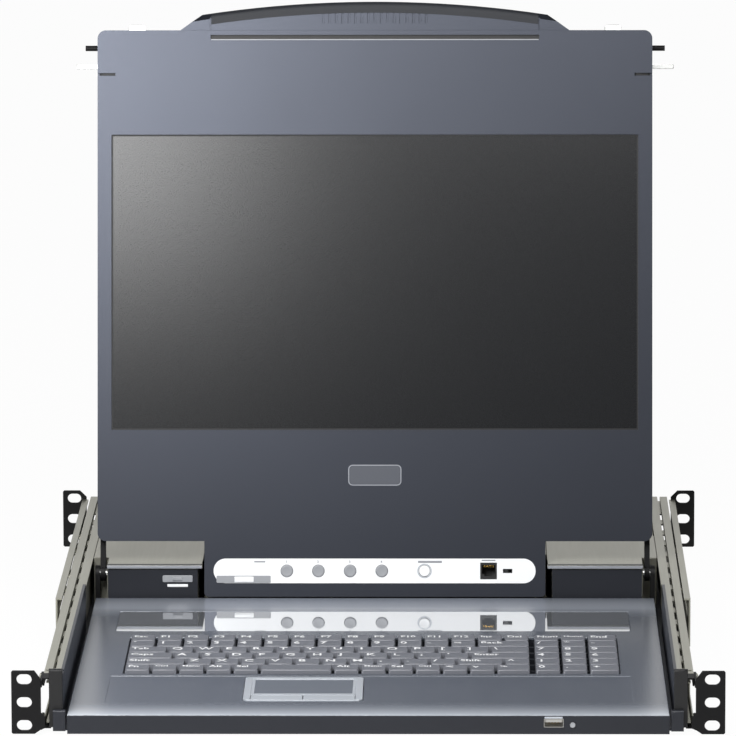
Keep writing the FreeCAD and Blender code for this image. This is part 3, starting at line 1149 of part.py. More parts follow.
def main():
    """Build every node and write it."""
    os.makedirs("parts", exist_ok=True)
    for node, shape in right_and_left().items():
        save(node + "_right", shape)
        save(node + "_left", mirrored(shape))
    for node, shape in twins().items():
        save(node, pair(shape))
    for node, shape in singles().items():
        save(node, shape)
    for number, place in enumerate(BUTTON_PLACES, start=1):
        save("osd_button_" + str(number), control_button(place, BUTTON_RADIUS))
    for node, keys in key_groups().items():
        save(node, Part.makeCompound(keys) if len(keys) > 1 else keys[0])
    screws = rear_stud_parts()
    save("rail_screws", Part.makeCompound(screws + [mirrored(screw) for screw in screws]))


if __name__ == "__main__":
    main()
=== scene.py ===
"""Looks of a rack console drawer: finishes, trim, key tops and a plain studio.

Sizes are in millimetres and become metres where a mesh is made. X runs to the right, Y to the
rear of the rack and Z up, and the origin is the middle of the front ear faces. The drawer is
pushed in and the lid stands open.
"""

import json
import logging
import math
from dataclasses import dataclass, field
from enum import Enum
from typing import Any, Optional

import bmesh
import bpy
import numpy as np
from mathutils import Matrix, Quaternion, Vector

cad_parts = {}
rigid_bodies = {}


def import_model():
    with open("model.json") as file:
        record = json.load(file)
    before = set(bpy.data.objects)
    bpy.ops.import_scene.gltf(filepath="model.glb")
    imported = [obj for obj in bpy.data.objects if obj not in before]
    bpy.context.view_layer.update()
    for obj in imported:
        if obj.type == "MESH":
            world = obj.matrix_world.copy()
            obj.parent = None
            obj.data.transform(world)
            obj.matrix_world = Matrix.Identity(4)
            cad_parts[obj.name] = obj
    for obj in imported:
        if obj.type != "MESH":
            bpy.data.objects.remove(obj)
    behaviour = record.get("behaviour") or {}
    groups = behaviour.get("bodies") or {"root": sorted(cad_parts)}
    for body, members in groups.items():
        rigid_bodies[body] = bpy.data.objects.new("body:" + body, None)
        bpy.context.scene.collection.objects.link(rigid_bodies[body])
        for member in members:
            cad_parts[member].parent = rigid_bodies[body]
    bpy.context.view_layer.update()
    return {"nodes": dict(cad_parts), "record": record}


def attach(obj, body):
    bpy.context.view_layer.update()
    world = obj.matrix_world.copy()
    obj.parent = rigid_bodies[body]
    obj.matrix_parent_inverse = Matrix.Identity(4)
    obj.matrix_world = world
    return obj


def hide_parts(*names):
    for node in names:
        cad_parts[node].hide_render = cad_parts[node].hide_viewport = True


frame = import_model()

LOG = logging.getLogger("console_drawer")
MM = 0.001

Array = np.ndarray
Place = tuple[float, float, float]
# Points of a surface, and its faces as rows of point numbers, one array for each number of sides.
Shape = tuple[Array, list[Array]]
# Left edge, front edge, width and legend of a key.
Key = tuple[float, float, float, str]


# ---- colour and node helpers ----------------------------------------------------------------
def linear(code: str) -> tuple[float, float, float, float]:
    """Turn an sRGB hex colour into linear light.

    Args:
        code: six hex digits, red first.

    Returns:
        Red, green, blue and an alpha of 1.
    """
    parts = np.array([int(code[i:i + 2], 16) for i in (0, 2, 4)]) / 255.0
    light = np.where(parts <= 0.04045, parts / 12.92, ((parts + 0.055) / 1.055) ** 2.4)
    return (*(float(value) for value in light), 1.0)


def shaded(code: str, factor: float) -> tuple[float, float, float, float]:
    """A colour with its linear light scaled by a factor."""
    red, green, blue, alpha = linear(code)
    return (min(red * factor, 1.0), min(green * factor, 1.0), min(blue * factor, 1.0), alpha)


def put(tree: bpy.types.NodeTree, kind: str, settings: Optional[dict[str, Any]] = None,
        inputs: Optional[dict[Any, Any]] = None) -> bpy.types.Node:
    """Add a node with its settings, values and links.

    Args:
        tree: node tree that takes the node.
        kind: Blender's type name of the node.
        settings: properties to set on the node.
        inputs: input name or number, with a value or the output socket that feeds it.

    Returns:
        The new node.
    """
    node = tree.nodes.new(kind)
    for name, value in (settings or {}).items():
        setattr(node, name, value)
    for name, value in (inputs or {}).items():
        if isinstance(value, bpy.types.NodeSocket):
            tree.links.new(value, node.inputs[name])
        else:
            node.inputs[name].default_value = value
    return node


# ---- finishes ---------------------------------------------------------------------------------
# Size in millimetres of the slow patches of light and dark that every finish has.
CLOUD_SIZE = 90.0
# Rolled sheet is streaked: this factor on the pattern's scale draws it out along Y.
ROLLING_STRETCH = 0.04
# Share by which the grain moves the roughness either way.
ROUGHNESS_SPREAD = 0.12


class Making(Enum):
    """How the surface of a finish was made, which sets its pattern."""

    SPRAYED = "powder coat or paint, with an orange peel of flow marks"
    MOULDED = "plastic from a spark eroded mould, evenly grained"
    POLISHED = "plastic from a polished mould, with a slow unevenness"
    ROLLED = "zinc plated sheet, streaked along the rolling direction"
    CAST = "die casting, with a coarse skin"


@dataclass(frozen=True)
class Finish:
    """One material of the real object and the surface that its making gave it."""

    name: str
    colour: str
    making: Making
    grain: float
    depth: float
    roughness: float
    metallic: float = 0.0
    ior: float = 1.5
    shade: float = 0.05
    coat: float = 0.0
    fades: tuple[tuple[float, float, str], ...] = ()

    def material(self) -> bpy.types.Material:
        """Build the node material.

        Noise on Object coordinates shades the colour over decimetres, a second noise of the
        grain's size moves the roughness and lifts the surface by a bump of the grain's depth.
        Each fade is painted light and shade: it blends to its colour between two places along Y, as the
        square of the way.

        Returns:
            The material.
        """
        made = bpy.data.materials.new(self.name)
        made.use_nodes = True
        tree = made.node_tree
        tree.nodes.clear()
        place = put(tree, "ShaderNodeTexCoord").outputs["Object"]
        if self.making is Making.ROLLED:
            place = put(tree, "ShaderNodeMapping", inputs={
                "Vector": place, "Scale": (1.0, ROLLING_STRETCH, 1.0)}).outputs["Vector"]
        cloud = put(tree, "ShaderNodeTexNoise", inputs={
            "Vector": place, "Scale": 1.0 / (CLOUD_SIZE * MM), "Detail": 3.0})
        colour = put(tree, "ShaderNodeMixRGB", inputs={
            "Fac": cloud.outputs["Fac"], "Color1": shaded(self.colour, 1.0 - self.shade),
            "Color2": shaded(self.colour, 1.0 + self.shade)})
        # Painted light and shade: each fade lightens or darkens the colour along Y.
        for start, full, tone in self.fades:
            depth = put(tree, "ShaderNodeSeparateXYZ", inputs={"Vector": place}).outputs["Y"]
            way = put(tree, "ShaderNodeMapRange", inputs={
                "Value": depth, "From Min": start * MM, "From Max": full * MM}).outputs["Result"]
            share = put(tree, "ShaderNodeMath", {"operation": "POWER"}, {0: way, 1: 2.0}).outputs["Value"]
            colour = put(tree, "ShaderNodeMixRGB", inputs={
                "Fac": share, "Color1": colour.outputs["Color"], "Color2": linear(tone)})
        grain = self.pattern(tree, place)
        rough = put(tree, "ShaderNodeMapRange", inputs={
            "Value": grain, "To Min": self.roughness * (1.0 - ROUGHNESS_SPREAD),
            "To Max": self.roughness * (1.0 + ROUGHNESS_SPREAD)})
        bump = put(tree, "ShaderNodeBump", inputs={
            "Height": grain, "Distance": self.depth * MM, "Strength": 1.0})
        shader = put(tree, "ShaderNodeBsdfPrincipled", inputs={
            "Base Color": colour.outputs["Color"], "Roughness": rough.outputs["Result"],
            "Normal": bump.outputs["Normal"], "Metallic": self.metallic,
            "Coat Weight": self.coat})
        if self.metallic < 1.0:
            shader.inputs["IOR"].default_value = self.ior
        put(tree, "ShaderNodeOutputMaterial", inputs={"Surface": shader.outputs["BSDF"]})
        return made

    def pattern(self, tree: bpy.types.NodeTree, place: bpy.types.NodeSocket) -> bpy.types.NodeSocket:
        """The height pattern that belongs to the making, one grain per its size in millimetres.

        Args:
            tree: node tree of the material.
            place: socket with the place on the piece.

        Returns:
            The socket with the height, from 0 to 1.
        """
        scale = 1.0 / (self.grain * MM)
        if self.making is Making.MOULDED:
            node = put(tree, "ShaderNodeTexVoronoi", {"feature": "SMOOTH_F1"},
                       {"Vector": place, "Scale": scale})
            return node.outputs["Distance"]
        detail = {Making.SPRAYED: 2.0, Making.POLISHED: 1.0, Making.ROLLED: 4.0, Making.CAST: 3.0}
        node = put(tree, "ShaderNodeTexNoise", inputs={
            "Vector": place, "Scale": scale, "Detail": detail[self.making]})
        return node.outputs["Fac"]


# Name, colour, making, grain in millimetres, depth of the bump in millimetres, roughness and
# metallic. Real grains are too fine to show, so they are drawn coarser, 0.3 to 1 mm wide.
FINISHES: dict[str, Finish] = {
    # Powder coat on folded steel: matt, nearly black, its orange peel breaks up highlights.
    "black_coat": Finish("black_powder_coat", "101011", Making.SPRAYED, 1.1, 0.05, 0.55, ior=1.3),
    # Zinc plate on steel sheet: a warm grey sheen, drawn out along the sheet.
    "zinc_sheet": Finish("zinc_plated_sheet", "aaa99d", Making.ROLLED, 1.6, 0.01, 0.42, 0.75),
    # Painted shade on the grip's crest, where its rounded top turns away from the lamps: dull and darker
    # than the lid.
    "painted_crest_shade": Finish("crest_shade_painted", "202227", Making.SPRAYED, 0.8, 0.02, 0.6, ior=1.4),
    # Metallic paint on the lid: slate grey, its flakes spread a lamp into a wide soft slope.
    "slate_paint": Finish("slate_metallic_paint", "3c3f47", Making.SPRAYED, 0.8, 0.01, 0.39, 0.78),
    # Painted ABS deck: satin, with painted light along Y: a painted highlight towards the front edge, where
    # it rounds over, a lighter band before the rear, and painted shade along the rear edge below the lid's
    # tail.
    "deck_plastic": Finish("painted_abs_deck", "555a63", Making.MOULDED, 0.7, 0.006, 0.25, 0.1, ior=1.6,
                           fades=((46.0, 2.0, "b9bfc7"), (300.0, 350.0, "999ea7"),
                                  (352.0, 386.0, "666b74"))),
    # Moulded ABS in the shade of the lid: dark, with hardly a sheen.
    "dark_plastic": Finish("dark_abs", "24262c", Making.MOULDED, 0.7, 0.02, 0.45, ior=1.38),
    # Key caps of moulded ABS: mid grey and finely grained.
    "key_plastic": Finish("key_abs", "6e7077", Making.MOULDED, 0.5, 0.02, 0.4),
    # Acrylic painted on its back: the clear face mirrors the control strip above it.
    "gloss_inlay": Finish("gloss_acrylic_inlay", "a0a4aa", Making.POLISHED, 20.0, 0.004, 0.04, 0.5,
                          coat=1.0),
    # Gloss ABS of the control strip: white, with soft reflections.
    "white_plastic": Finish("white_gloss_abs", "f2f3f4", Making.POLISHED, 12.0, 0.01, 0.25),
    # Satin ABS of the round buttons and sliders: light grey and even.
    "button_grey": Finish("grey_satin_abs", "97999d", Making.MOULDED, 0.5, 0.01, 0.4),
    # Silver paint of the touchpad's rim: pale, with a little metal in it.
    "silver_paint": Finish("silver_painted_abs", "b3b8bf", Making.SPRAYED, 0.8, 0.01, 0.38, 0.15),
    # Polyester skin of the touchpad: matt, a shade lighter than the deck.
    "pad_plastic": Finish("touch_surface_polyester", "666b74", Making.MOULDED, 0.3, 0.01, 0.5),
    # Etched film on the panel: almost black, blurs a lamp into a broad patch.
    "screen_film": Finish("antiglare_screen_film", "17181a", Making.MOULDED, 0.3, 0.004, 0.27, ior=1.44),
    # Turned and polished steel: bright, with sharp highlights.
    "pin_steel": Finish("polished_steel", "c2c3c1", Making.POLISHED, 8.0, 0.005, 0.3, 1.0),
    # Cold rolled steel of the slides: bright, with fine streaks.
    "bearing_steel": Finish("bright_rolled_steel", "a2a29e", Making.ROLLED, 1.0, 0.005, 0.28, 1.0),
    # Nickel plate of the sockets' shells: bright and slightly warm.
    "port_steel": Finish("nickel_plated_steel", "c4c3bf", Making.ROLLED, 1.2, 0.005, 0.3, 1.0),
    # Glass filled nylon: deep black and dull.
    "black_plastic": Finish("black_nylon", "131314", Making.MOULDED, 0.8, 0.03, 0.55),
    # Glass epoxy under lacquer: dark green, with a gloss.
    "circuit_board": Finish("lacquered_glass_epoxy", "1f4a35", Making.POLISHED, 6.0, 0.02, 0.3),
    # Die cast case: a coarse grey skin.
    "supply_case": Finish("die_cast_aluminium", "b2b2ae", Making.CAST, 1.0, 0.06, 0.45, 1.0),
    # Screen printed inks: flat colour with a satin face.
    "white_print": Finish("white_legend_ink", "f4f5f6", Making.POLISHED, 2.0, 0.002, 0.45),
    "grey_print": Finish("grey_legend_ink", "8a8d92", Making.POLISHED, 2.0, 0.002, 0.45),
    # Bright line on thin edges, with a little metal in it: the badge's bare ring, and painted highlight
    # along the lips of the corner boxes.
    "badge_line": Finish("bright_edge_line", "a3a6ad", Making.POLISHED, 2.0, 0.002, 0.3, 0.3),
    # Satin sheet inside the badge ring: lighter than the lid and without its sheen.
    "badge_sheet": Finish("satin_badge_sheet", "4c4f57", Making.POLISHED, 2.0, 0.002, 0.42),
    # Gold flash over bronze contacts: warm and bright.
    "gold_contact": Finish("gold_flashed_bronze", "d2ab5a", Making.ROLLED, 0.8, 0.002, 0.25, 1.0),
}

SLOT_OF: dict[str, str] = {row["node"]: row["material_slot"] for row in frame["record"]["subparts"]}
BODY_OF: dict[str, str] = {node: body for body, nodes in frame["record"]["behaviour"]["bodies"].items()
                           for node in nodes}
MADE: dict[str, bpy.types.Material] = {}


def finish_of(slot: str) -> bpy.types.Material:
    """The material of a slot, made once."""
    if slot not in MADE:
        MADE[slot] = FINISHES[slot].material()
    return MADE[slot]


# ---- places and surfaces ----------------------------------------------------------------------
# Axis of the lid's hinge, and how far the open lid leans back from upright.
HINGE_Y = 403.5
HINGE_Z = 6.1
LID_LEAN = math.radians(10.0)
LID_COS, LID_SIN = math.cos(LID_LEAN), math.sin(LID_LEAN)
# Flat faces above this size in square millimetres keep their own normal, so that no shading
# runs across them from the rounded edges.
FLAT_AREA = 60.0
# How the copies of CAD meshes are cleaned: points closer than this many metres are merged, faces
# that turn by less than FLAT_TURN become one, and edges that turn by more than EDGE_TURN are
# broken, or stay sharp where they are too short for that.
MERGE_DISTANCE = 2e-6
FLAT_TURN = math.radians(0.5)
EDGE_TURN = math.radians(40.0)
# Any direction that no two places of a piece share: the order along it is the order of its parts.
SORTING = Vector((1.0, 17.13, 293.7))


class Facing(Enum):
    """The side that a flat detail faces, as an origin and the directions of its u, v and w."""

    DECK = ((0, 0, 0), (1, 0, 0), (0, 1, 0), (0, 0, 1))
    FRONT = ((0, 0, 0), (1, 0, 0), (0, 0, 1), (0, -1, 0))
    REAR = ((0, 0, 0), (-1, 0, 0), (0, 0, 1), (0, 1, 0))
    RIGHT = ((0, 0, 0), (0, 1, 0), (0, 0, 1), (1, 0, 0))
    LEFT = ((0, 0, 0), (0, -1, 0), (0, 0, 1), (-1, 0, 0))
    LID = ((0, HINGE_Y, HINGE_Z), (1, 0, 0), (0, LID_SIN, LID_COS), (0, -LID_COS, LID_SIN))

    def world(self, points: Array) -> Array:
        """Place (u, v, w) points: the origin plus u, v and w times their directions."""
        turn = np.array(self.value, dtype=float)
        return turn[0] + points @ turn[1:]


def rounded_ring(half_u: float, half_v: float, radius: float, steps: int) -> Array:
    """Rounded rectangle, counter-clockwise.

    Each quarter turns about its own corner centre: u = su (half_u - r) + r cos a and
    v = sv (half_v - r) + r sin a, with su and sv the signs of the quarter.

    Args:
        half_u: half its width.
        half_v: half its height.
        radius: corner radius.
        steps: flats in each corner.

    Returns:
        Points of shape (4 * (steps + 1), 2).
    """
    quarter = np.arange(4)[:, None]
    angle = (quarter + np.linspace(0.0, 1.0, steps + 1)) * math.pi / 2
    middle = (quarter + 0.5) * math.pi / 2
    u = np.sign(np.cos(middle)) * (half_u - radius) + radius * np.cos(angle)
    v = np.sign(np.sin(middle)) * (half_v - radius) + radius * np.sin(angle)
    return np.stack([u.ravel(), v.ravel()], axis=1)


def band_faces(rings: int, around: int) -> Array:
    """Quads between neighbouring rings that close on themselves, facing outwards.

    Args:
        rings: number of rings.
        around: points in each ring.

    Returns:
        Four point numbers for each quad.
    """
    row, column = np.meshgrid(np.arange(rings - 1), np.arange(around), indexing="ij")
    after = (column + 1) % around
    here, above = row * around, (row + 1) * around
    quads = [here + column, here + after, above + after, above + column]
    return np.stack(quads, axis=-1).reshape(-1, 4)


def loft(rings: Array) -> Shape:
    """Skin over a stack of rings, closed by a flat face at both ends.

    Args:
        rings: points of shape (rings, around, 3), counter-clockwise and from low to high w.

    Returns:
        The points and the faces.
    """
    count, around = rings.shape[:2]
    first, last = np.arange(around)[::-1], (count - 1) * around + np.arange(around)
    return rings.reshape(-1, 3), [band_faces(count, around), first[None], last[None]]


def turned(profile: list[tuple[float, float]], centre: Place, segments: int = 32) -> Shape:
    """Solid of revolution about w: each profile pair (r, w) becomes a circle of radius r at height w.

    Args:
        profile: radius and height from the low end to the high end.
        centre: place of the axis at height 0.
        segments: flats around.

    Returns:
        The points and the faces.
    """
    angle = np.arange(segments) * 2 * math.pi / segments
    pairs = np.array(profile)
    rings = np.stack([pairs[:, :1] * np.cos(angle), pairs[:, :1] * np.sin(angle),
                      np.repeat(pairs[:, 1:], segments, axis=1)], axis=-1)
    return loft(rings + np.array(centre))


def plate(low: Place, high: Place, radius: float = 0.0, round_off: float = 0.1,
          steps: int = 3) -> Shape:
    """Rounded plate between two corners, its rim stepped in by the round-off at its w end.

    Args:
        low: lowest u, v and w.
        high: highest u, v and w.
        radius: corner radius seen from w.
        round_off: size of the edge break.
        steps: flats in each corner.

    Returns:
        The points and the faces.
    """
    start, end = np.array(low, dtype=float), np.array(high, dtype=float)
    half = (end - start) / 2
    radius = max(radius, round_off * 1.5)
    rings = []
    for inset, level in ((0.0, start[2]), (0.0, end[2] - round_off),
                         (round_off * 0.3, end[2] - round_off * 0.3), (round_off, end[2])):
        ring = rounded_ring(half[0] - inset, half[1] - inset, radius - inset, steps)
        flat = np.column_stack([ring, np.full(len(ring), level)])
        rings.append(flat + np.array([start[0] + half[0], start[1] + half[1], 0.0]))
    return loft(np.array(rings))


def picture_frame(outer: tuple[float, float, float, float], width: float, low: float, high: float,
                  radius: float) -> Shape:
    """Rectangular ring of one width: four rounded rectangles, swept round its cross-section.

    Args:
        outer: lowest u, lowest v, highest u and highest v.
        width: width of the ring.
        low: its lower w.
        high: its upper w.
        radius: outer corner radius.

    Returns:
        The points and the faces.
    """
    u0, v0, u1, v1 = outer
    centre = np.array([(u0 + u1) / 2, (v0 + v1) / 2, 0.0])
    rings = []
    for inset, level in ((0.0, low), (0.0, high), (width, high), (width, low)):
        ring = rounded_ring((u1 - u0) / 2 - inset, (v1 - v0) / 2 - inset, max(radius - inset, 0.05), 4)
        rings.append(np.column_stack([ring, np.full(len(ring), level)]) + centre)
    return closed_band(np.array(rings))


def closed_band(rings: Array) -> Shape:
    """Skin over rings of which the last is joined to the first, as round a picture frame.

    Args:
        rings: points of shape (rings, around, 3), from the outside over the top to the inside.

    Returns:
        The points and the faces.
    """
    count, around = rings.shape[:2]
    return rings.reshape(-1, 3), [band_faces(count + 1, around) % (count * around)]


def repeated(shape: Shape, places: Array) -> Shape:
    """Copies of a shape, one at each place: every point plus every place, with the faces counted on.

    Args:
        shape: points and faces of one copy.
        places: one place per copy, of shape (copies, 3).

    Returns:
        The points and the faces.
    """
    points, faces = shape
    moved = (points[None] + places[:, None]).reshape(-1, 3)
    return moved, counted_on(faces, len(places), len(points))


def counted_on(faces: list[Array], copies: int, step: int) -> list[Array]:
    """The faces of several copies: each copy's point numbers are a step above the last copy's.

    Args:
        faces: faces of the first copy.
        copies: number of copies.
        step: points in a copy.

    Returns:
        The faces of all the copies.
    """
    offsets = (np.arange(copies) * step)[:, None, None]
    return [(rows[None] + offsets).reshape(-1, rows.shape[1]) for rows in faces]


@dataclass
class Piece:
    """Surfaces that become one object on one body."""

    name: str
    slot: str
    body: str
    facing: Facing = Facing.DECK
    points: list[Array] = field(default_factory=list)
    faces: list[Array] = field(default_factory=list)
    count: int = 0
    flat_above: float = FLAT_AREA

    def add(self, shape: Shape) -> "Piece":
        """Take in one more surface.

        Args:
            shape: its points in the piece's own u, v and w, and its faces.

        Returns:
            The piece itself.
        """
        points, faces = shape
        self.points.append(self.facing.world(points))
        self.faces += [rows + self.count for rows in faces]
        self.count += len(points)
        return self

    def make(self, replaced: tuple[str, ...] = (), sharp: float = 35.0) -> bpy.types.Object:
        """Make the object, give it its finish and put it on its body.

        Args:
            replaced: CAD nodes that it is shown instead of.
            sharp: angle in degrees above which an edge stays sharp.

        Returns:
            The object.
        """
        mesh = bpy.data.meshes.new(self.name)
        sizes = np.concatenate([np.full(len(rows), rows.shape[1]) for rows in self.faces])
        starts = np.concatenate([[0], np.cumsum(sizes)[:-1]])
        mesh.vertices.add(self.count)
        mesh.vertices.foreach_set("co", (np.concatenate(self.points) * MM).ravel())
        mesh.loops.add(int(sizes.sum()))
        mesh.loops.foreach_set("vertex_index", np.concatenate([rows.ravel() for rows in self.faces]))
        mesh.polygons.add(len(sizes))
        mesh.polygons.foreach_set("loop_start", starts)
        mesh.update(calc_edges=True)
        mesh.validate()
        areas = np.empty(len(mesh.polygons))
        mesh.polygons.foreach_get("area", areas)
        mesh.set_sharp_from_angle(angle=math.radians(sharp))
        mesh.polygons.foreach_set("use_smooth", areas < self.flat_above * MM * MM)
        return settle(mesh, self.name, self.slot, self.body, replaced)


def settle(mesh: bpy.types.Mesh, name: str, slot: str, body: str,
           replaced: tuple[str, ...] = ()) -> bpy.types.Object:
    """Link a finished mesh as a piece of the object.

    Args:
        mesh: mesh with its place in its vertices.
        name: name of the object.
        slot: material slot of the record.
        body: body that it moves with.
        replaced: CAD nodes that it is shown instead of.

    Returns:
        The object.
    """
    mesh.materials.clear()
    mesh.materials.append(finish_of(slot))
    made = bpy.data.objects.new(name, mesh)
    bpy.context.scene.collection.objects.link(made)
    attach(made, body)
    if replaced:
        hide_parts(*replaced)
    LOG.info("%s: %d faces on %s", name, len(mesh.polygons), body)
    return made


# Height of a capital over the type's size, and the share of the size by which its strokes are
# made bolder.
CAPITAL_HEIGHT = 0.72
BOLDER = 0.022


def lettering(words: list[tuple[str, float, float, float]]) -> tuple[Array, list[Array], Array]:
    """Flat words in the plane w = 0.

    Args:
        words: each word with the u and v of its lower left corner and its letter height.

    Returns:
        The points and the triangles of all the words, and the number of each point's word.
    """
    points, faces, owner, count = [], [], [], 0
    for word, u, v, size in words:
        curve = bpy.data.curves.new("word", "FONT")
        curve.body, curve.size, curve.resolution_u, curve.offset = word, size, 2, size * BOLDER
        maker = bpy.data.objects.new("word", curve)
        bpy.context.scene.collection.objects.link(maker)
        bpy.context.view_layer.update()
        mesh = bpy.data.meshes.new_from_object(maker.evaluated_get(bpy.context.evaluated_depsgraph_get()))
        corners = np.empty(len(mesh.vertices) * 3)
        mesh.vertices.foreach_get("co", corners)
        mesh.calc_loop_triangles()
        triangles = np.empty(len(mesh.loop_triangles) * 3, dtype=int)
        mesh.loop_triangles.foreach_get("vertices", triangles)
        points.append(corners.reshape(-1, 3) + np.array([u, v, 0.0]))
        faces.append(triangles.reshape(-1, 3) + count)
        owner.append(np.full(len(mesh.vertices), len(owner)))
        count += len(mesh.vertices)
        for item, store in ((maker, bpy.data.objects), (curve, bpy.data.curves), (mesh, bpy.data.meshes)):
            store.remove(item)
    return np.concatenate(points), [np.concatenate(faces)], np.concatenate(owner)


@dataclass(frozen=True)
class Softened:
    """A CAD piece shown with its long edges broken, as sheet, paint and moulding have them.

    It holds the node's name, the width of the broken edges, the shortest edge that is broken and
    the Y in front of which the piece has a black coat, all in millimetres.
    """

    node: str
    width: float
    shortest: float = 5.0
    nose: float = 0.0

    def build(self) -> None:
        """Copy the node's mesh, merge it, round each long and sharp edge and blacken the nose.

        Only edges between two faces that turn outwards are rounded, by two flats over the width.
        The nose is parted by a plane of constant Y, so that its coat ends in a straight line. The
        cut leaves the mesh in a chance order, so it is sorted by place.
        """
        source = frame["nodes"][self.node]
        work = bmesh.new()
        work.from_mesh(source.data)
        bmesh.ops.remove_doubles(work, verts=work.verts, dist=MERGE_DISTANCE)
        bmesh.ops.dissolve_limit(work, angle_limit=FLAT_TURN, verts=work.verts, edges=work.edges)
        edges = [edge for edge in work.edges if len(edge.link_faces) == 2 and edge.is_convex
                 and edge.calc_face_angle(0.0) > EDGE_TURN and edge.calc_length() > self.shortest * MM]
        bmesh.ops.bevel(work, geom=edges, offset=self.width * MM, offset_type="OFFSET", segments=2,
                        profile=0.5, affect="EDGES", clamp_overlap=True)
        if self.nose:
            bmesh.ops.bisect_plane(work, geom=[*work.verts, *work.edges, *work.faces], dist=1e-6,
                                   plane_co=(0.0, self.nose * MM, 0.0), plane_no=(0.0, 1.0, 0.0))
            work.verts.sort(key=lambda vert: vert.co.dot(SORTING))
            work.faces.sort(key=lambda face: face.calc_center_median().dot(SORTING))
        mesh = bpy.data.meshes.new(self.node + "_softened")
        work.to_mesh(mesh)
        work.free()
        if "custom_normal" in mesh.attributes:
            mesh.attributes.remove(mesh.attributes["custom_normal"])
        areas = np.empty(len(mesh.polygons))
        mesh.polygons.foreach_get("area", areas)
        mesh.set_sharp_from_angle(angle=EDGE_TURN)
        mesh.polygons.foreach_set("use_smooth", areas < FLAT_AREA * MM * MM)
        settle(mesh, self.node + "_softened", SLOT_OF[self.node], BODY_OF[self.node], (self.node,))
        if self.nose:
            mesh.materials.append(finish_of("black_coat"))
            middles = np.empty(len(mesh.polygons) * 3)
            mesh.polygons.foreach_get("center", middles)
            mesh.polygons.foreach_set("material_index", (middles[1::3] < self.nose * MM).astype(np.int32))
            mesh.update()


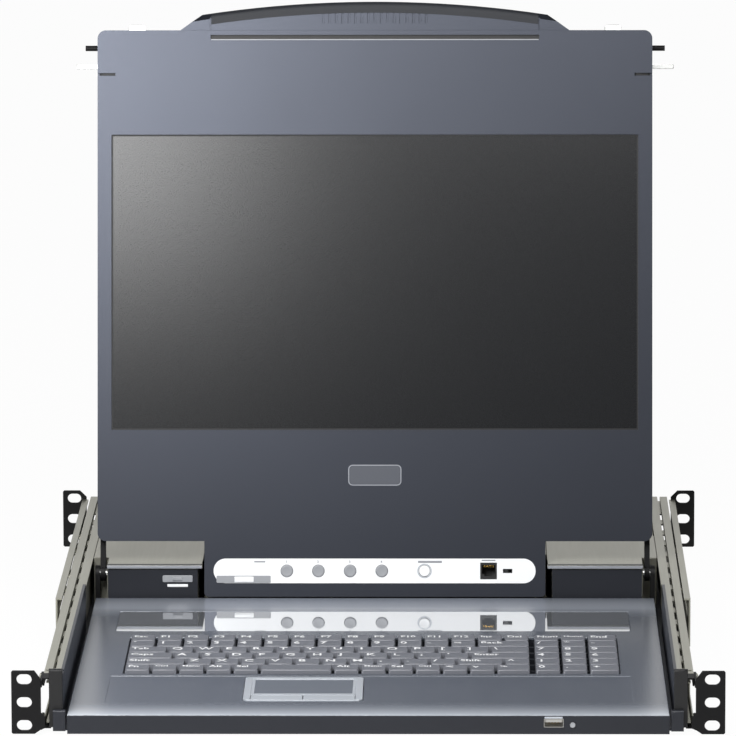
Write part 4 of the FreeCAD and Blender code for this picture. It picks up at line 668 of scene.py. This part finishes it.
# ---- keyboard -------------------------------------------------------------------------------------
@dataclass
class Keyboard:
    """Dished key caps with printed legends, one set of caps for each group of keys.

    column and row are the pitches of the keys and gap the slit between two caps. left and front
    are the corner of the first key, foot and top the levels of a cap. The caps lean in by draft,
    sink by dish, have their own corner radius at the rim, the foot and in the bowl, and start to
    turn over the rim this far in and down from it. Single letters are letter high and words at
    most word high, with narrow as a letter's width over its height. Legends keep a margin at the
    side and the rear and lie ink above the cap. The last column of the side block is wider.
    """

    column: float = 18.9
    row: float = 19.6
    gap: float = 1.5
    left: float = -171.1
    front: float = 132.4
    block_gap: float = 2.2
    foot: float = -13.1
    top: float = -6.7
    draft: float = 0.7
    dish: float = 0.4
    corner: float = 1.2
    foot_corner: float = 0.8
    bowl_corner: float = 0.6
    rim: tuple[float, float] = (0.3, 0.45)
    shares: tuple[float, ...] = (0.2, 0.5)
    letter: float = 9.5
    word: float = 8.0
    narrow: float = 0.62
    margin: tuple[float, float] = (1.3, 1.2)
    ink: float = 0.07
    last_wider: float = 3.2

    # Rows from the front, each key as its width in columns and its legend.
    rows: tuple[tuple[tuple[float, str], ...], ...] = (
        (*((1.0, word) for word in ("Fn", "Ctrl", "Menu", "Alt", "Sel")), (2.7, ""),
         *((1.0, word) for word in ("Alt", "Menu", "Sel", "Ctrl", "<", "v")), (1.3, ">")),
        ((2.25, "Shift"), *((1.0, word) for word in "ZXCVBNM,./"), (1.75, "Shift"), (1.0, "^")),
        ((1.75, "Caps"), *((1.0, word) for word in "ASDFGHJKL;'"), (2.25, "Enter")),
        ((1.5, "Tab"), *((1.0, word) for word in "QWERTYUIOP[]"), (1.5, "\\")),
        (*((1.0, word) for word in "`1234567890-="), (2.0, "Back")),
        ((1.0, "Esc"), *((1.0, f"F{number}") for number in range(1, 13)), (1.0, "Ins"), (1.0, "Del")),
    )
    side_block: tuple[tuple[str, ...], ...] = (
        ("0", ".", "+"), ("1", "2", "3"), ("4", "5", "6"), ("7", "8", "9"), ("/", "*", "-"),
        ("Num", "Home", "End"))

    def group(self, row: int, index: int) -> str:
        """The group of a key.

        Args:
            row: its row, from the front.
            index: its place in the row, from the left.

        Returns:
            The name of the node that the key belongs to.
        """
        last = len(self.rows[row]) - 1
        if row == 5:
            return "function_keys"
        if row == 0:
            return "space_bar" if index == 5 else "modifier_keys"
        return "modifier_keys" if row < 4 and index in (0, last) else "main_keys"

    def layout(self) -> dict[str, list[Key]]:
        """Place every key: rows stand one pitch behind each other, keys follow by their widths.

        Returns:
            The keys of each group.
        """
        groups: dict[str, list[Key]] = {}
        for row, keys in enumerate(self.rows):
            left, front = self.left, self.front + row * self.row
            for index, (width, word) in enumerate(keys):
                place = (left, front, width * self.column - self.gap, word)
                groups.setdefault(self.group(row, index), []).append(place)
                left += width * self.column
            left = self.left + self.column * len(self.rows[-1]) + self.block_gap
            for column, word in enumerate(self.side_block[row]):
                width = self.column - self.gap + (self.last_wider if column == 2 else 0.0)
                place = (left + column * self.column, front, width, word)
                groups.setdefault("numpad_keys", []).append(place)
        return groups

    def sunk(self, share: float | Array) -> float | Array:
        """Level of the dish at a share of the way in: share (2 - share) of its depth below the rim."""
        return self.top - self.dish * share * (2.0 - share)

    def caps(self, keys: list[Key]) -> Shape:
        """All the caps of a group at once.

        A cap is a stack of rounded rectangles. They shrink from the foot to the rim by the draft,
        turn over the rim, and then sink inwards: a ring drawn in by a share s of the way to the
        middle lies s (2 - s) of the dish below the rim, which is a shallow bowl.

        Args:
            keys: the keys of the group.

        Returns:
            The points and the faces.
        """
        sizes = np.array([[width, self.row - self.gap] for _, _, width, _ in keys]) / 2
        middles = np.array([[left, front] for left, front, _, _ in keys]) + sizes
        unit = rounded_ring(1.0, 1.0, 0.0, 2)
        bow = rounded_ring(1.0, 1.0, 1.0, 2)
        rings = []
        for inset, level, radius in ((0.0, self.foot, self.foot_corner),
                                     (self.draft - self.rim[0], self.top - self.rim[1], self.corner),
                                     (self.draft, self.top, self.corner)):
            rings.append(((sizes - inset - radius)[:, None] * unit + radius * bow, level))
        for share in self.shares:
            half = (sizes - self.draft) * (1.0 - share) - self.bowl_corner
            rings.append((half[:, None] * unit + self.bowl_corner * bow, self.sunk(share)))
        stack = np.stack([
            np.concatenate([flat + middles[:, None], np.full((*flat.shape[:2], 1), level)], axis=2)
            for flat, level in rings], axis=1)
        cap, faces = loft(stack[0])
        return stack.reshape(-1, 3), counted_on(faces, len(keys), len(cap))

    def legends(self, keys: list[Key]) -> Shape:
        """Printed legends, upper left on each cap, a hair above the dish that they lie in.

        A point's share of the way to the middle of its cap is 1 less the larger of its two
        distances over the cap's halves, and the dish is as deep there as its own formula says.

        Args:
            keys: the keys of the group.

        Returns:
            The points and the faces.
        """
        words = []
        for left, front, width, word in keys:
            room = width - 2 * self.draft - self.margin[0] - self.margin[1]
            wide = self.narrow * max(len(word), 1)
            size = self.letter if len(word) == 1 else min(self.word, room / wide)
            top = front + self.row - self.gap - self.draft - self.margin[1]
            words.append((word, left + self.draft + self.margin[0], top - size * CAPITAL_HEIGHT, size))
        chosen = [item for item in zip(words, keys) if item[0][0]]
        points, faces, owner = lettering([item[0] for item in chosen])
        half = np.array([[key[2], self.row - self.gap] for _, key in chosen]) / 2
        middle = np.array([[key[0], key[1]] for _, key in chosen]) + half
        share = 1.0 - np.max(np.abs(points[:, :2] - middle[owner]) / (half[owner] - self.draft), axis=1)
        points[:, 2] = self.sunk(np.clip(share, 0.0, self.shares[-1])) + self.ink
        return points, faces

    def build(self) -> None:
        """Build the caps and legends of every group."""
        for group, keys in self.layout().items():
            Piece(group + "_caps", "key_plastic", group).add(self.caps(keys)).make((group,), sharp=50.0)
            if any(key[3] for key in keys):
                Piece(group + "_legends", "white_print", group).add(self.legends(keys)).make()


# ---- slides ---------------------------------------------------------------------------------------
@dataclass
class Slides:
    """Bearing balls of the two slides and the rivets of the front ears.

    middle is the level of a slide's middle, and ball_level and ball_place are how far the rows of
    balls stand from it and from the middle of the rack. The rivets' rows are given by their Y and
    their levels.
    """

    middle: float = -2.5
    ball_radius: float = 1.2
    ball_level: float = 15.35
    ball_place: float = 217.4
    cage_front: float = 220.0
    first_ball: float = 6.0
    pitch: float = 20.0
    balls: int = 11
    rivet_rows: tuple[float, ...] = (16.0, 26.0)
    rivet_levels: tuple[float, ...] = (12.2, -17.4)
    rivet_face: float = 222.4

    def ball(self) -> Shape:
        """A ball as circles of radius r cos t at height r sin t, with a tiny flat at each pole.

        Returns:
            The points and the faces.
        """
        tilt = np.linspace(-math.pi / 2 + 0.05, math.pi / 2 - 0.05, 9)
        profile = [(self.ball_radius * math.cos(t), self.ball_radius * math.sin(t)) for t in tilt]
        return turned(profile, (0.0, 0.0, 0.0), 14)

    def build(self) -> None:
        """Fill the pockets of both cages and rivet the ears to the fixed channels."""
        along = self.cage_front + self.first_ball + np.arange(1, self.balls - 1) * self.pitch
        for side, name in ((-1, "left"), (1, "right")):
            places = np.array([[side * self.ball_place, y, self.middle + level]
                               for y in along for level in (-self.ball_level, self.ball_level)])
            Piece(f"bearing_balls_{name}", "bearing_steel", f"cage_{name}").add(
                repeated(self.ball(), places)).make(sharp=60.0)
            facing = Facing.RIGHT if side > 0 else Facing.LEFT
            rivets = Piece(f"ear_rivets_{name}", "zinc_sheet", "fixed_rails", facing)
            head = turned([(2.6, 0.0), (2.5, 0.5), (1.9, 1.0), (0.9, 1.3)], (0.0, 0.0, self.rivet_face), 20)
            seats = np.array([[side * y, z, 0.0] for y in self.rivet_rows for z in self.rivet_levels])
            rivets.add(repeated(head, seats)).make()


# ---- lid --------------------------------------------------------------------------------------------
@dataclass
class LidFace:
    """Trim of the display face: screen border, bare badge, control strip and its buttons.

    Places are u to the right and v up the lid from the hinge, and face is the level of its face.
    Rectangles are given as lowest u, lowest v, highest u and highest v.
    """

    face: float = 12.7
    strip_middle: float = 1.9
    screen_half: float = 192.3
    screen_base: float = 104.8
    screen_top: float = 320.4
    film: float = 10.72
    border_width: float = 1.1
    badge_box: tuple[float, float, float, float] = (-19.4, 64.2, 19.4, 79.4)
    badge_width: float = 0.7
    badge_corner: float = 3.2
    badge_slit: float = 0.1
    button_places: tuple[float, ...] = (-64.2, -41.2, -18.0, 5.1)
    button_radius: float = 4.35
    button_rise: float = 1.3
    power_place: float = 36.3
    power_radius: float = 4.0
    # Radius and level over the face, from the outside over the top to the inside.
    power_ring: tuple[tuple[float, float], ...] = ((5.3, 0.35), (5.2, 0.5), (4.5, 0.5), (4.4, 0.35))
    segments: int = 40
    ink: float = 0.44
    number_size: float = 2.4
    bars: tuple[tuple[float, float, float, float], ...] = (
        (31.5, 5.9, 49.0, 7.4), (78.0, 7.3, 88.0, 8.2), (-106.5, -5.6, -76.0, -3.6),
        (-88.0, 6.2, -80.0, 7.2))
    port_place: float = 83.0
    port_wires: int = 8
    port_pitch: float = 1.02

    def screen(self) -> None:
        """Black border printed round the film, and painted shadow where the window's edge overhangs the
        film.
        """
        border = Piece("screen_border_and_shadow", "black_plastic", "lid", Facing.LID)
        border.add(picture_frame((-self.screen_half, self.screen_base, self.screen_half, self.screen_top),
                                 self.border_width, self.film, self.film + 0.12, 0.6))
        border.make()

    def badge(self) -> None:
        """Bare rounded ring on the chin, a little proud of the frame, and a plain sheet inside it."""
        ring = Piece("badge_ring", "badge_line", "lid", Facing.LID)
        ring.add(picture_frame(self.badge_box, self.badge_width, self.face - 0.1, self.face + 0.25,
                               self.badge_corner))
        ring.make()
        inset = self.badge_width + self.badge_slit
        u0, v0, u1, v1 = self.badge_box
        sheet = Piece("badge_plate", "badge_sheet", "lid", Facing.LID)
        sheet.add(plate((u0 + inset, v0 + inset, self.face - 0.1),
                        (u1 - inset, v1 - inset, self.face + 0.12), self.badge_corner - inset))
        sheet.make()

    def button(self, radius: float) -> list[tuple[float, float]]:
        """Profile of a push button: straight sides, a rounded rim and a faintly hollow top.

        Args:
            radius: radius of the button.

        Returns:
            Radius and level from the foot to the middle of the top.
        """
        rim = self.face + self.button_rise
        return [(radius, self.face - 0.3), (radius, rim - 0.5), (radius - 0.15, rim - 0.15),
                (radius - 0.5, rim), (radius * 0.7, rim - 0.12), (radius * 0.35, rim - 0.22),
                (0.1, rim - 0.24)]

    def buttons(self) -> None:
        """The four menu buttons, the power button and the ring round it."""
        pushed = [(f"osd_button_{number}", "button_grey", place, self.button_radius)
                  for number, place in enumerate(self.button_places, 1)]
        pushed.append(("power_button", "white_plastic", self.power_place, self.power_radius))
        for node, slot, place, radius in pushed:
            cap = Piece(node + "_cap", slot, node, Facing.LID)
            cap.add(turned(self.button(radius), (place, self.strip_middle, 0.0), self.segments))
            cap.make((node,))
        angle = np.arange(self.segments) * 2 * math.pi / self.segments
        circle = np.stack([np.cos(angle), np.sin(angle)], axis=1)
        middle = np.array([self.power_place, self.strip_middle, self.face])
        rings = [np.column_stack([circle * radius, np.full(self.segments, level)]) + middle
                 for radius, level in self.power_ring]
        Piece("power_ring", "silver_paint", "lid", Facing.LID).add(closed_band(np.array(rings))).make()

    def prints(self) -> None:
        """Numbers, bars and the label tab printed on the control strip."""
        level = self.face + self.ink
        numbers = [(str(number), place - 0.9, self.strip_middle + 5.9, self.number_size)
                   for number, place in enumerate(self.button_places, 1)]
        points, faces, _ = lettering(numbers)
        points[:, 2] = level
        prints = Piece("strip_prints", "grey_print", "lid", Facing.LID).add((points, faces))
        middle = self.strip_middle
        for low_u, low_v, high_u, high_v in self.bars:
            prints.add(plate((low_u, middle + low_v, level - 0.05), (high_u, middle + high_v, level),
                             0.3, 0.02))
        prints.make()
        tab = Piece("strip_tab", "button_grey", "lid", Facing.LID)
        tab.add(plate((-115.6, -6.9, self.face + 0.3), (-76.0, -1.6, self.face + 0.6), 0.8)).make()
        insert = Piece("strip_tab_insert", "white_plastic", "lid", Facing.LID)
        insert.add(plate((-102.5, -6.2, self.face + 0.5), (-88.5, -2.3, self.face + 0.7), 0.4)).make()

    def port(self) -> None:
        """Spring contacts in the roof of the modular socket."""
        wires = Piece("port_contacts", "gold_contact", "lid", Facing.LID)
        for wire in range(self.port_wires):
            u = self.port_place + (wire - (self.port_wires - 1) / 2) * self.port_pitch
            wires.add(plate((u - 0.22, self.strip_middle + 2.6, 4.0),
                            (u + 0.22, self.strip_middle + 4.0, 11.8), 0.1, 0.05, 1))
        wires.make()

    def build(self) -> None:
        """Build all the trim of the display face."""
        for part in (self.screen, self.badge, self.buttons, self.prints, self.port):
            part()


@dataclass
class LidTop:
    """Details of the carrying grip and of the lid's upper edge.

    top is the lid's upper edge, and crest and shoulder are the grip's height over it in the
    middle and at its ends, which stand half away from the middle. reach is how far the band and
    the lip run to each side.
    """

    top: float = 396.6
    face: float = 12.7
    crest: float = 21.0
    shoulder: float = 11.5
    half: float = 126.0
    rounding: float = 4.0
    reach: float = 119.4
    drops: tuple[float, ...] = (0.4, 1.0, 2.0, 3.0, 4.2, 6.0, 8.2)
    skin: tuple[float, float] = (0.2, -0.1)

    def crest_band(self) -> Shape:
        """Thin sheet of painted shade on the grip's front, under its crest, where the rounded top turns
        away from the lamps.

        The crest is an arc of a circle through the shoulders: v = crest - r + sqrt(r r - u u).
        A row of the sheet lies a drop below it, and goes back by the quarter circle of the
        grip's rounding. The sheet has two such skins, joined at its edges.

        Returns:
            The points and the faces.
        """
        rise = self.crest - self.shoulder
        radius = (self.half ** 2 + rise ** 2) / (2 * rise)
        drops = np.array(self.drops)
        around = np.linspace(-self.reach, self.reach, 97)
        depth = self.rounding - np.sqrt(self.rounding ** 2 - np.clip(self.rounding - drops, 0.0, None) ** 2)
        v = self.top + self.crest - radius + np.sqrt(radius ** 2 - around ** 2)[None, :] - drops[:, None]
        sheets = []
        for lift in self.skin:
            w = np.broadcast_to((self.face - depth + lift)[:, None], v.shape)
            sheets.append(np.stack([np.broadcast_to(around, v.shape), v, w], axis=-1))
        ring = np.concatenate([sheets[0], sheets[1][::-1]])
        rows, columns = ring.shape[:2]
        corner = np.arange(rows * columns).reshape(rows, columns)
        here, after = corner, np.roll(corner, -1, axis=0)
        faces = np.stack([here[:, :-1], here[:, 1:], after[:, 1:], after[:, :-1]], axis=-1).reshape(-1, 4)
        ends = np.stack([corner[:, 0], corner[::-1, -1]])
        return ring.reshape(-1, 3), [faces[:, ::-1], ends]

    def build(self) -> None:
        """A band of painted shade under the crest, a pale strip of painted highlight on the lip under the
        finger groove and dark liners of the slots.
        """
        # Painted shade: a dark sheet where the crest's rounding turns away from the lamps.
        band = Piece("grip_top_painted_shade", "painted_crest_shade", "lid", Facing.LID, flat_above=1e6)
        band.add(self.crest_band()).make()
        # Painted highlight: a pale strip on the lip under the finger groove, where its edge catches the
        # light.
        lip = Piece("groove_lip_highlight", "button_grey", "lid", Facing.LID)
        lip.add(plate((-119.6, self.top - 7.2, self.face - 0.1),
                      (119.6, self.top - 6.5, self.face + 0.2), 0.3, 0.1))
        lip.make()
        liner = Piece("slot_liners", "black_plastic", "lid", Facing.LID)
        for low_u, high_u, low_v, high_v in ((-122.0, 122.0, -8.0, -2.0), (-200.6, -188.0, -34.5, -30.0),
                                             (188.0, 200.6, -34.5, -30.0)):
            liner.add(plate((low_u, self.top + low_v, self.face - 3.4),
                            (high_u, self.top + high_v, self.face - 2.2)))
        liner.make()


# ---- chassis ------------------------------------------------------------------------------------------
@dataclass
class Chassis:
    """Screws, connector pins and plates of the zinc chassis behind the deck.

    top is the level of its covers, rear the face of the rear panel and fascia_front the face of
    the dark fascias in the corner boxes.
    """

    top: float = 14.8
    rear: float = 691.2
    fascia_front: float = 389.7
    video_places: tuple[float, ...] = (-150.0, -95.0)
    serial_place: float = 55.0
    serial_wires: int = 8
    serial_pitch: float = 0.62
    inlet_place: float = 110.2

    def screw(self, radius: float) -> Shape:
        """Pan head screw with a round socket: circles from the seat over the dome to the socket.

        Args:
            radius: radius of the head.

        Returns:
            The points and the faces.
        """
        shape = ((1.0, 0.0), (1.0, 0.25), (0.82, 0.52), (0.45, 0.6), (0.4, 0.25), (0.05, 0.22))
        return turned([(radius * out, radius * up) for out, up in shape], (0.0, 0.0, 0.0), 16)

    def covers(self) -> None:
        """Screws of the covers, on top and on the rear panel."""
        top = Piece("cover_screws", "pin_steel", "drawer")
        places = [[x, y, self.top] for x in (-192.0, -64.0, 64.0, 192.0) for y in (506.0, 680.0)]
        top.add(repeated(self.screw(2.6), np.array(places))).make()
        rear = Piece("panel_screws", "pin_steel", "drawer", Facing.REAR)
        rear.add(repeated(self.screw(2.3), np.array([[x, z, self.rear] for x in (-192.0, -40.0, 24.0, 192.0)
                                                     for z in (-15.0, 9.8)]))).make()

    def fascias(self) -> None:
        """Slider plate and light strip on the left fascia, and painted shadow lines and painted highlights
        along the lips of both boxes.
        """
        slider = Piece("fascia_slider", "button_grey", "drawer", Facing.FRONT)
        face = -self.fascia_front
        slider.add(plate((-155.0, 2.2, face - 0.05), (-133.0, 7.2, face + 0.9), 0.8, 0.3))
        slider.add(plate((-147.5, 3.4, face + 0.5), (-140.5, 6.0, face + 1.7), 0.5, 0.3))
        slider.make()
        # Painted shadow: dark lines on the box tops behind the folds of their lips.
        shadow_line = Piece("lip_painted_shadows", "dark_plastic", "drawer")
        # Painted highlight: bright lines where the folds of the lips catch the light.
        edge = Piece("lip_painted_highlights", "badge_line", "drawer", Facing.FRONT)
        for low_x, high_x in ((-195.5, -126.2), (126.2, 195.5)):
            shadow_line.add(plate((low_x, 389.4, self.top - 0.2), (high_x, 393.4, self.top + 0.06), 0.1, 0.03, 1))
            edge.add(plate((low_x, self.top - 2.3, -388.7), (high_x, self.top - 0.3, -388.4), 0.3, 0.1))
        shadow_line.make()
        edge.make()
        strip = Piece("fascia_strip", "white_plastic", "drawer", Facing.FRONT)
        strip.add(plate((-151.5, -1.4, face - 0.05), (-136.5, 0.6, face + 0.3), 0.3, 0.1))
        strip.make()

    def sockets(self) -> None:
        """Contact rows in the two video sockets, contacts of the serial port and blades of the inlet."""
        pins = Piece("socket_contacts", "gold_contact", "drawer", Facing.REAR)
        for x in self.video_places:
            rows = [(-x + (pin - 2) * 2.3 + (row % 2) * 1.1, -6.0 + (row - 1) * 2.5)
                    for row in range(3) for pin in range(5)]
            pins.add(repeated(turned([(0.55, 0.0), (0.55, 0.25), (0.3, 0.3)], (0.0, 0.0, 0.0), 8),
                              np.array([[u, v, self.rear + 4.7] for u, v in rows])))
        for wire in range(self.serial_wires):
            u = self.serial_place + (wire - (self.serial_wires - 1) / 2) * self.serial_pitch
            pins.add(plate((u - 0.15, -6.5, self.rear - 8.0), (u + 0.15, -6.3, self.rear - 1.3),
                           0.05, 0.03, 1))
        pins.make()
        blades = Piece("inlet_blades", "pin_steel", "drawer", Facing.REAR)
        for aside, z in ((-7.0, -5.0), (7.0, -5.0), (0.0, -1.5)):
            u = -(self.inlet_place + aside)
            blades.add(plate((u - 1.1, z - 2.2, self.rear - 14.0), (u + 1.1, z + 2.2, self.rear - 2.0),
                             0.4, 0.3))
        blades.make()

    def build(self) -> None:
        """Build everything on the chassis."""
        for part in (self.covers, self.fascias, self.sockets):
            part()


@dataclass
class Front:
    """Small things on the front bar and the deck.

    deck is the deck's level, and the touchpad's rim reaches from pad_left to pad_right. Its side
    and front bars end bar inside it and are bevel wide.
    """

    deck: float = -9.0
    pad_left: float = -86.3
    pad_right: float = -4.5
    bar: float = 5.0
    bevel: float = 2.2
    port_place: float = 125.4
    contact_pitch: float = 2.1

    def build(self) -> None:
        """Inner bevel of the touchpad's rim, plain plate over the port, and its tongue's contacts."""
        rim = Piece("touchpad_inner_rim", "silver_paint", "drawer")
        left, right, inner = self.pad_left + self.bar, self.pad_right - self.bar, self.bevel
        for low_x, high_x, high_y in ((left, left + inner, 114.4), (right - inner, right, 114.4),
                                      (left + inner, right - inner, 68.8)):
            rim.add(plate((low_x, 64.6, self.deck - 0.7), (high_x, high_y, self.deck - 0.05), 0.3, 0.2))
        rim.make()
        label = Piece("port_label", "silver_paint", "drawer", Facing.FRONT)
        label.add(plate((119.2, -11.0, 0.0), (131.4, -9.7, 0.16), 0.3, 0.05)).make()
        contacts = Piece("front_port_contacts", "gold_contact", "drawer", Facing.FRONT)
        for place in range(4):
            u = self.port_place + (place - 1.5) * self.contact_pitch
            contacts.add(plate((u - 0.5, -14.46, -9.0), (u + 0.5, -14.3, -2.2), 0.1, 0.03, 1))
        contacts.make()


# ---- CAD pieces with broken edges ---------------------------------------------------------------
SOFTENED = (
    Softened("lid_shell", 1.0), Softened("lid_frame", 0.3), Softened("grip", 1.2),
    Softened("deck_panel", 0.35), Softened("front_bezel", 0.3), Softened("rail_caps", 0.6),
    Softened("corner_blocks", 0.5), Softened("touchpad_frame", 0.5), Softened("touchpad", 0.2),
    Softened("touchpad_button_left", 0.3), Softened("touchpad_button_right", 0.3),
    Softened("control_strip", 0.2), Softened("rear_cover", 0.5), Softened("bridge_cover", 0.5),
    Softened("corner_box_left", 0.4), Softened("corner_box_right", 0.4),
    Softened("front_ear_left", 0.35), Softened("front_ear_right", 0.35), Softened("rear_ear_left", 0.35),
    Softened("rear_ear_right", 0.35), Softened("gloss_strip", 0.08), Softened("latch_left", 0.4, 3.0),
    Softened("latch_right", 0.4, 3.0), Softened("power_supply", 1.0), Softened("power_inlet", 0.4),
    Softened("outer_channel_left", 0.2, nose=24.0), Softened("outer_channel_right", 0.2, nose=24.0),
)


# ---- studio -----------------------------------------------------------------------------------
@dataclass
class Studio:
    """Floor, lamps and camera of a plain studio.

    The camera stands distance away and looks down by pitch and to the left by yaw, in degrees,
    from a place that is lifted and shifted across its view. floor_share is how much of the floor
    seen is plain white, and the rest shows its shadow.
    """

    floor_level: float = -22.6
    floor_half: float = 15000.0
    wall: float = 14950.0
    lens: float = 345.6
    sensor: float = 36.0
    pitch: float = 10.0
    yaw: float = 0.74
    distance: float = 4774.0
    lift: float = 226.1
    shift: float = 0.4
    roll: float = -0.128
    floor_share: float = 0.97
    room_light: float = 0.15
    # Name, place, aim, side and watts of each lamp.
    lamps: tuple[tuple[str, Place, Place, float, float], ...] = (
        ("key_softbox", (-340.0, -440.0, 620.0), (-150.0, 440.0, 300.0), 400.0, 9.2),
        ("fill_softbox", (170.0, -460.0, 740.0), (60.0, 440.0, 380.0), 300.0, 1.3),
        ("top_softbox", (250.0, -700.0, 1500.0), (0.0, 250.0, 50.0), 1200.0, 17.8))

    def build(self) -> None:
        """Build everything that stands around the object."""
        for part in (self.camera, self.floor, self.world):
            part()
        for lamp in self.lamps:
            self.softbox(*lamp)

    def camera(self) -> None:
        """Long lens camera, a little above the deck and turned slightly to the left."""
        pitch, yaw = math.radians(self.pitch), math.radians(self.yaw)
        view = Vector((-math.sin(yaw) * math.cos(pitch), math.cos(yaw) * math.cos(pitch), -math.sin(pitch)))
        right = Vector((math.cos(yaw), math.sin(yaw), 0.0))
        up = right.cross(view)
        data = bpy.data.cameras.new("camera")
        data.lens, data.sensor_width = self.lens, self.sensor
        data.clip_start, data.clip_end = 0.5, 60.0
        camera = bpy.data.objects.new("camera", data)
        camera.location = (view * -self.distance + up * self.lift + right * self.shift) * MM
        camera.rotation_mode = "QUATERNION"
        turn = Quaternion((0, 0, 1), math.radians(self.roll))
        camera.rotation_quaternion = view.to_track_quat("-Z", "Y") @ turn
        bpy.context.scene.collection.objects.link(camera)
        bpy.context.scene.camera = camera

    def floor(self) -> None:
        """Pale floor that shows white and keeps a part of the object's shadow."""
        half, level, wall_y = self.floor_half * MM, self.floor_level * MM, self.wall * MM
        mesh = bpy.data.meshes.new("floor")
        mesh.from_pydata([(-half, -half, level), (half, -half, level), (half, half, level),
                          (-half, half, level)], [], [(0, 1, 2, 3)])
        wall = bpy.data.meshes.new("backdrop")
        wall.from_pydata([(-half, wall_y, level), (-half, wall_y, half), (half, wall_y, half),
                          (half, wall_y, level)], [], [(0, 3, 2, 1)])
        floor, backdrop = bpy.data.objects.new("floor", mesh), bpy.data.objects.new("backdrop", wall)
        bpy.context.scene.collection.objects.link(floor)
        bpy.context.scene.collection.objects.link(backdrop)
        made = bpy.data.materials.new("white_studio_floor")
        made.use_nodes = True
        tree = made.node_tree
        tree.nodes.clear()
        path = put(tree, "ShaderNodeLightPath")
        seen = put(tree, "ShaderNodeMath", {"operation": "MAXIMUM"},
                   {0: path.outputs["Is Camera Ray"], 1: path.outputs["Is Glossy Ray"]})
        seen = put(tree, "ShaderNodeMath", {"operation": "MAXIMUM"},
                   {0: seen.outputs["Value"], 1: path.outputs["Is Transmission Ray"]})
        share = put(tree, "ShaderNodeMath", {"operation": "MULTIPLY"},
                    {0: seen.outputs["Value"], 1: self.floor_share})
        matt = put(tree, "ShaderNodeBsdfDiffuse", inputs={"Color": linear("f4f4f4")})
        glow = put(tree, "ShaderNodeEmission", inputs={"Color": (1.0, 1.0, 1.0, 1.0), "Strength": 1.0})
        both = put(tree, "ShaderNodeMixShader", inputs={
            0: share.outputs["Value"], 1: matt.outputs["BSDF"], 2: glow.outputs["Emission"]})
        put(tree, "ShaderNodeOutputMaterial", inputs={"Surface": both.outputs["Shader"]})
        mesh.materials.append(made)
        wall.materials.append(made)

    def world(self) -> None:
        """Even grey room light."""
        world = bpy.data.worlds.new("room")
        world.use_nodes = True
        tree = world.node_tree
        tree.nodes.clear()
        light = put(tree, "ShaderNodeBackground", inputs={
            "Color": linear("b9babd"), "Strength": self.room_light})
        put(tree, "ShaderNodeOutputWorld", inputs={"Surface": light.outputs["Background"]})
        bpy.context.scene.world = world

    def softbox(self, name: str, place: Place, aim: Place, side: float, power: float) -> None:
        """Square area lamp.

        Args:
            name: name of the lamp.
            place: where it hangs.
            aim: the point that it faces.
            side: length of its sides.
            power: its output in watts.
        """
        data = bpy.data.lights.new(name, "AREA")
        data.shape, data.size, data.energy = "SQUARE", side * MM, power
        lamp = bpy.data.objects.new(name, data)
        lamp.location = Vector(place) * MM
        lamp.rotation_mode = "QUATERNION"
        lamp.rotation_quaternion = (Vector(aim) - Vector(place)).to_track_quat("-Z", "Y")
        bpy.context.scene.collection.objects.link(lamp)


def dress_nodes() -> None:
    """Give every CAD node the finish of its slot."""
    for node, slot in SLOT_OF.items():
        mesh = frame["nodes"][node].data
        mesh.materials.clear()
        mesh.materials.append(finish_of(slot))


def main() -> None:
    """Build the studio and dress the object."""
    logging.basicConfig(level=logging.INFO, format="%(name)s: %(message)s")
    bpy.context.scene.view_settings.view_transform = "Standard"
    Studio().build()
    dress_nodes()
    for edge in SOFTENED:
        edge.build()
    for assembly in (Keyboard(), Slides(), LidFace(), LidTop(), Chassis(), Front()):
        assembly.build()
    LOG.info("dressed %d nodes", len(frame["nodes"]))


if __name__ == "__main__":
    main()
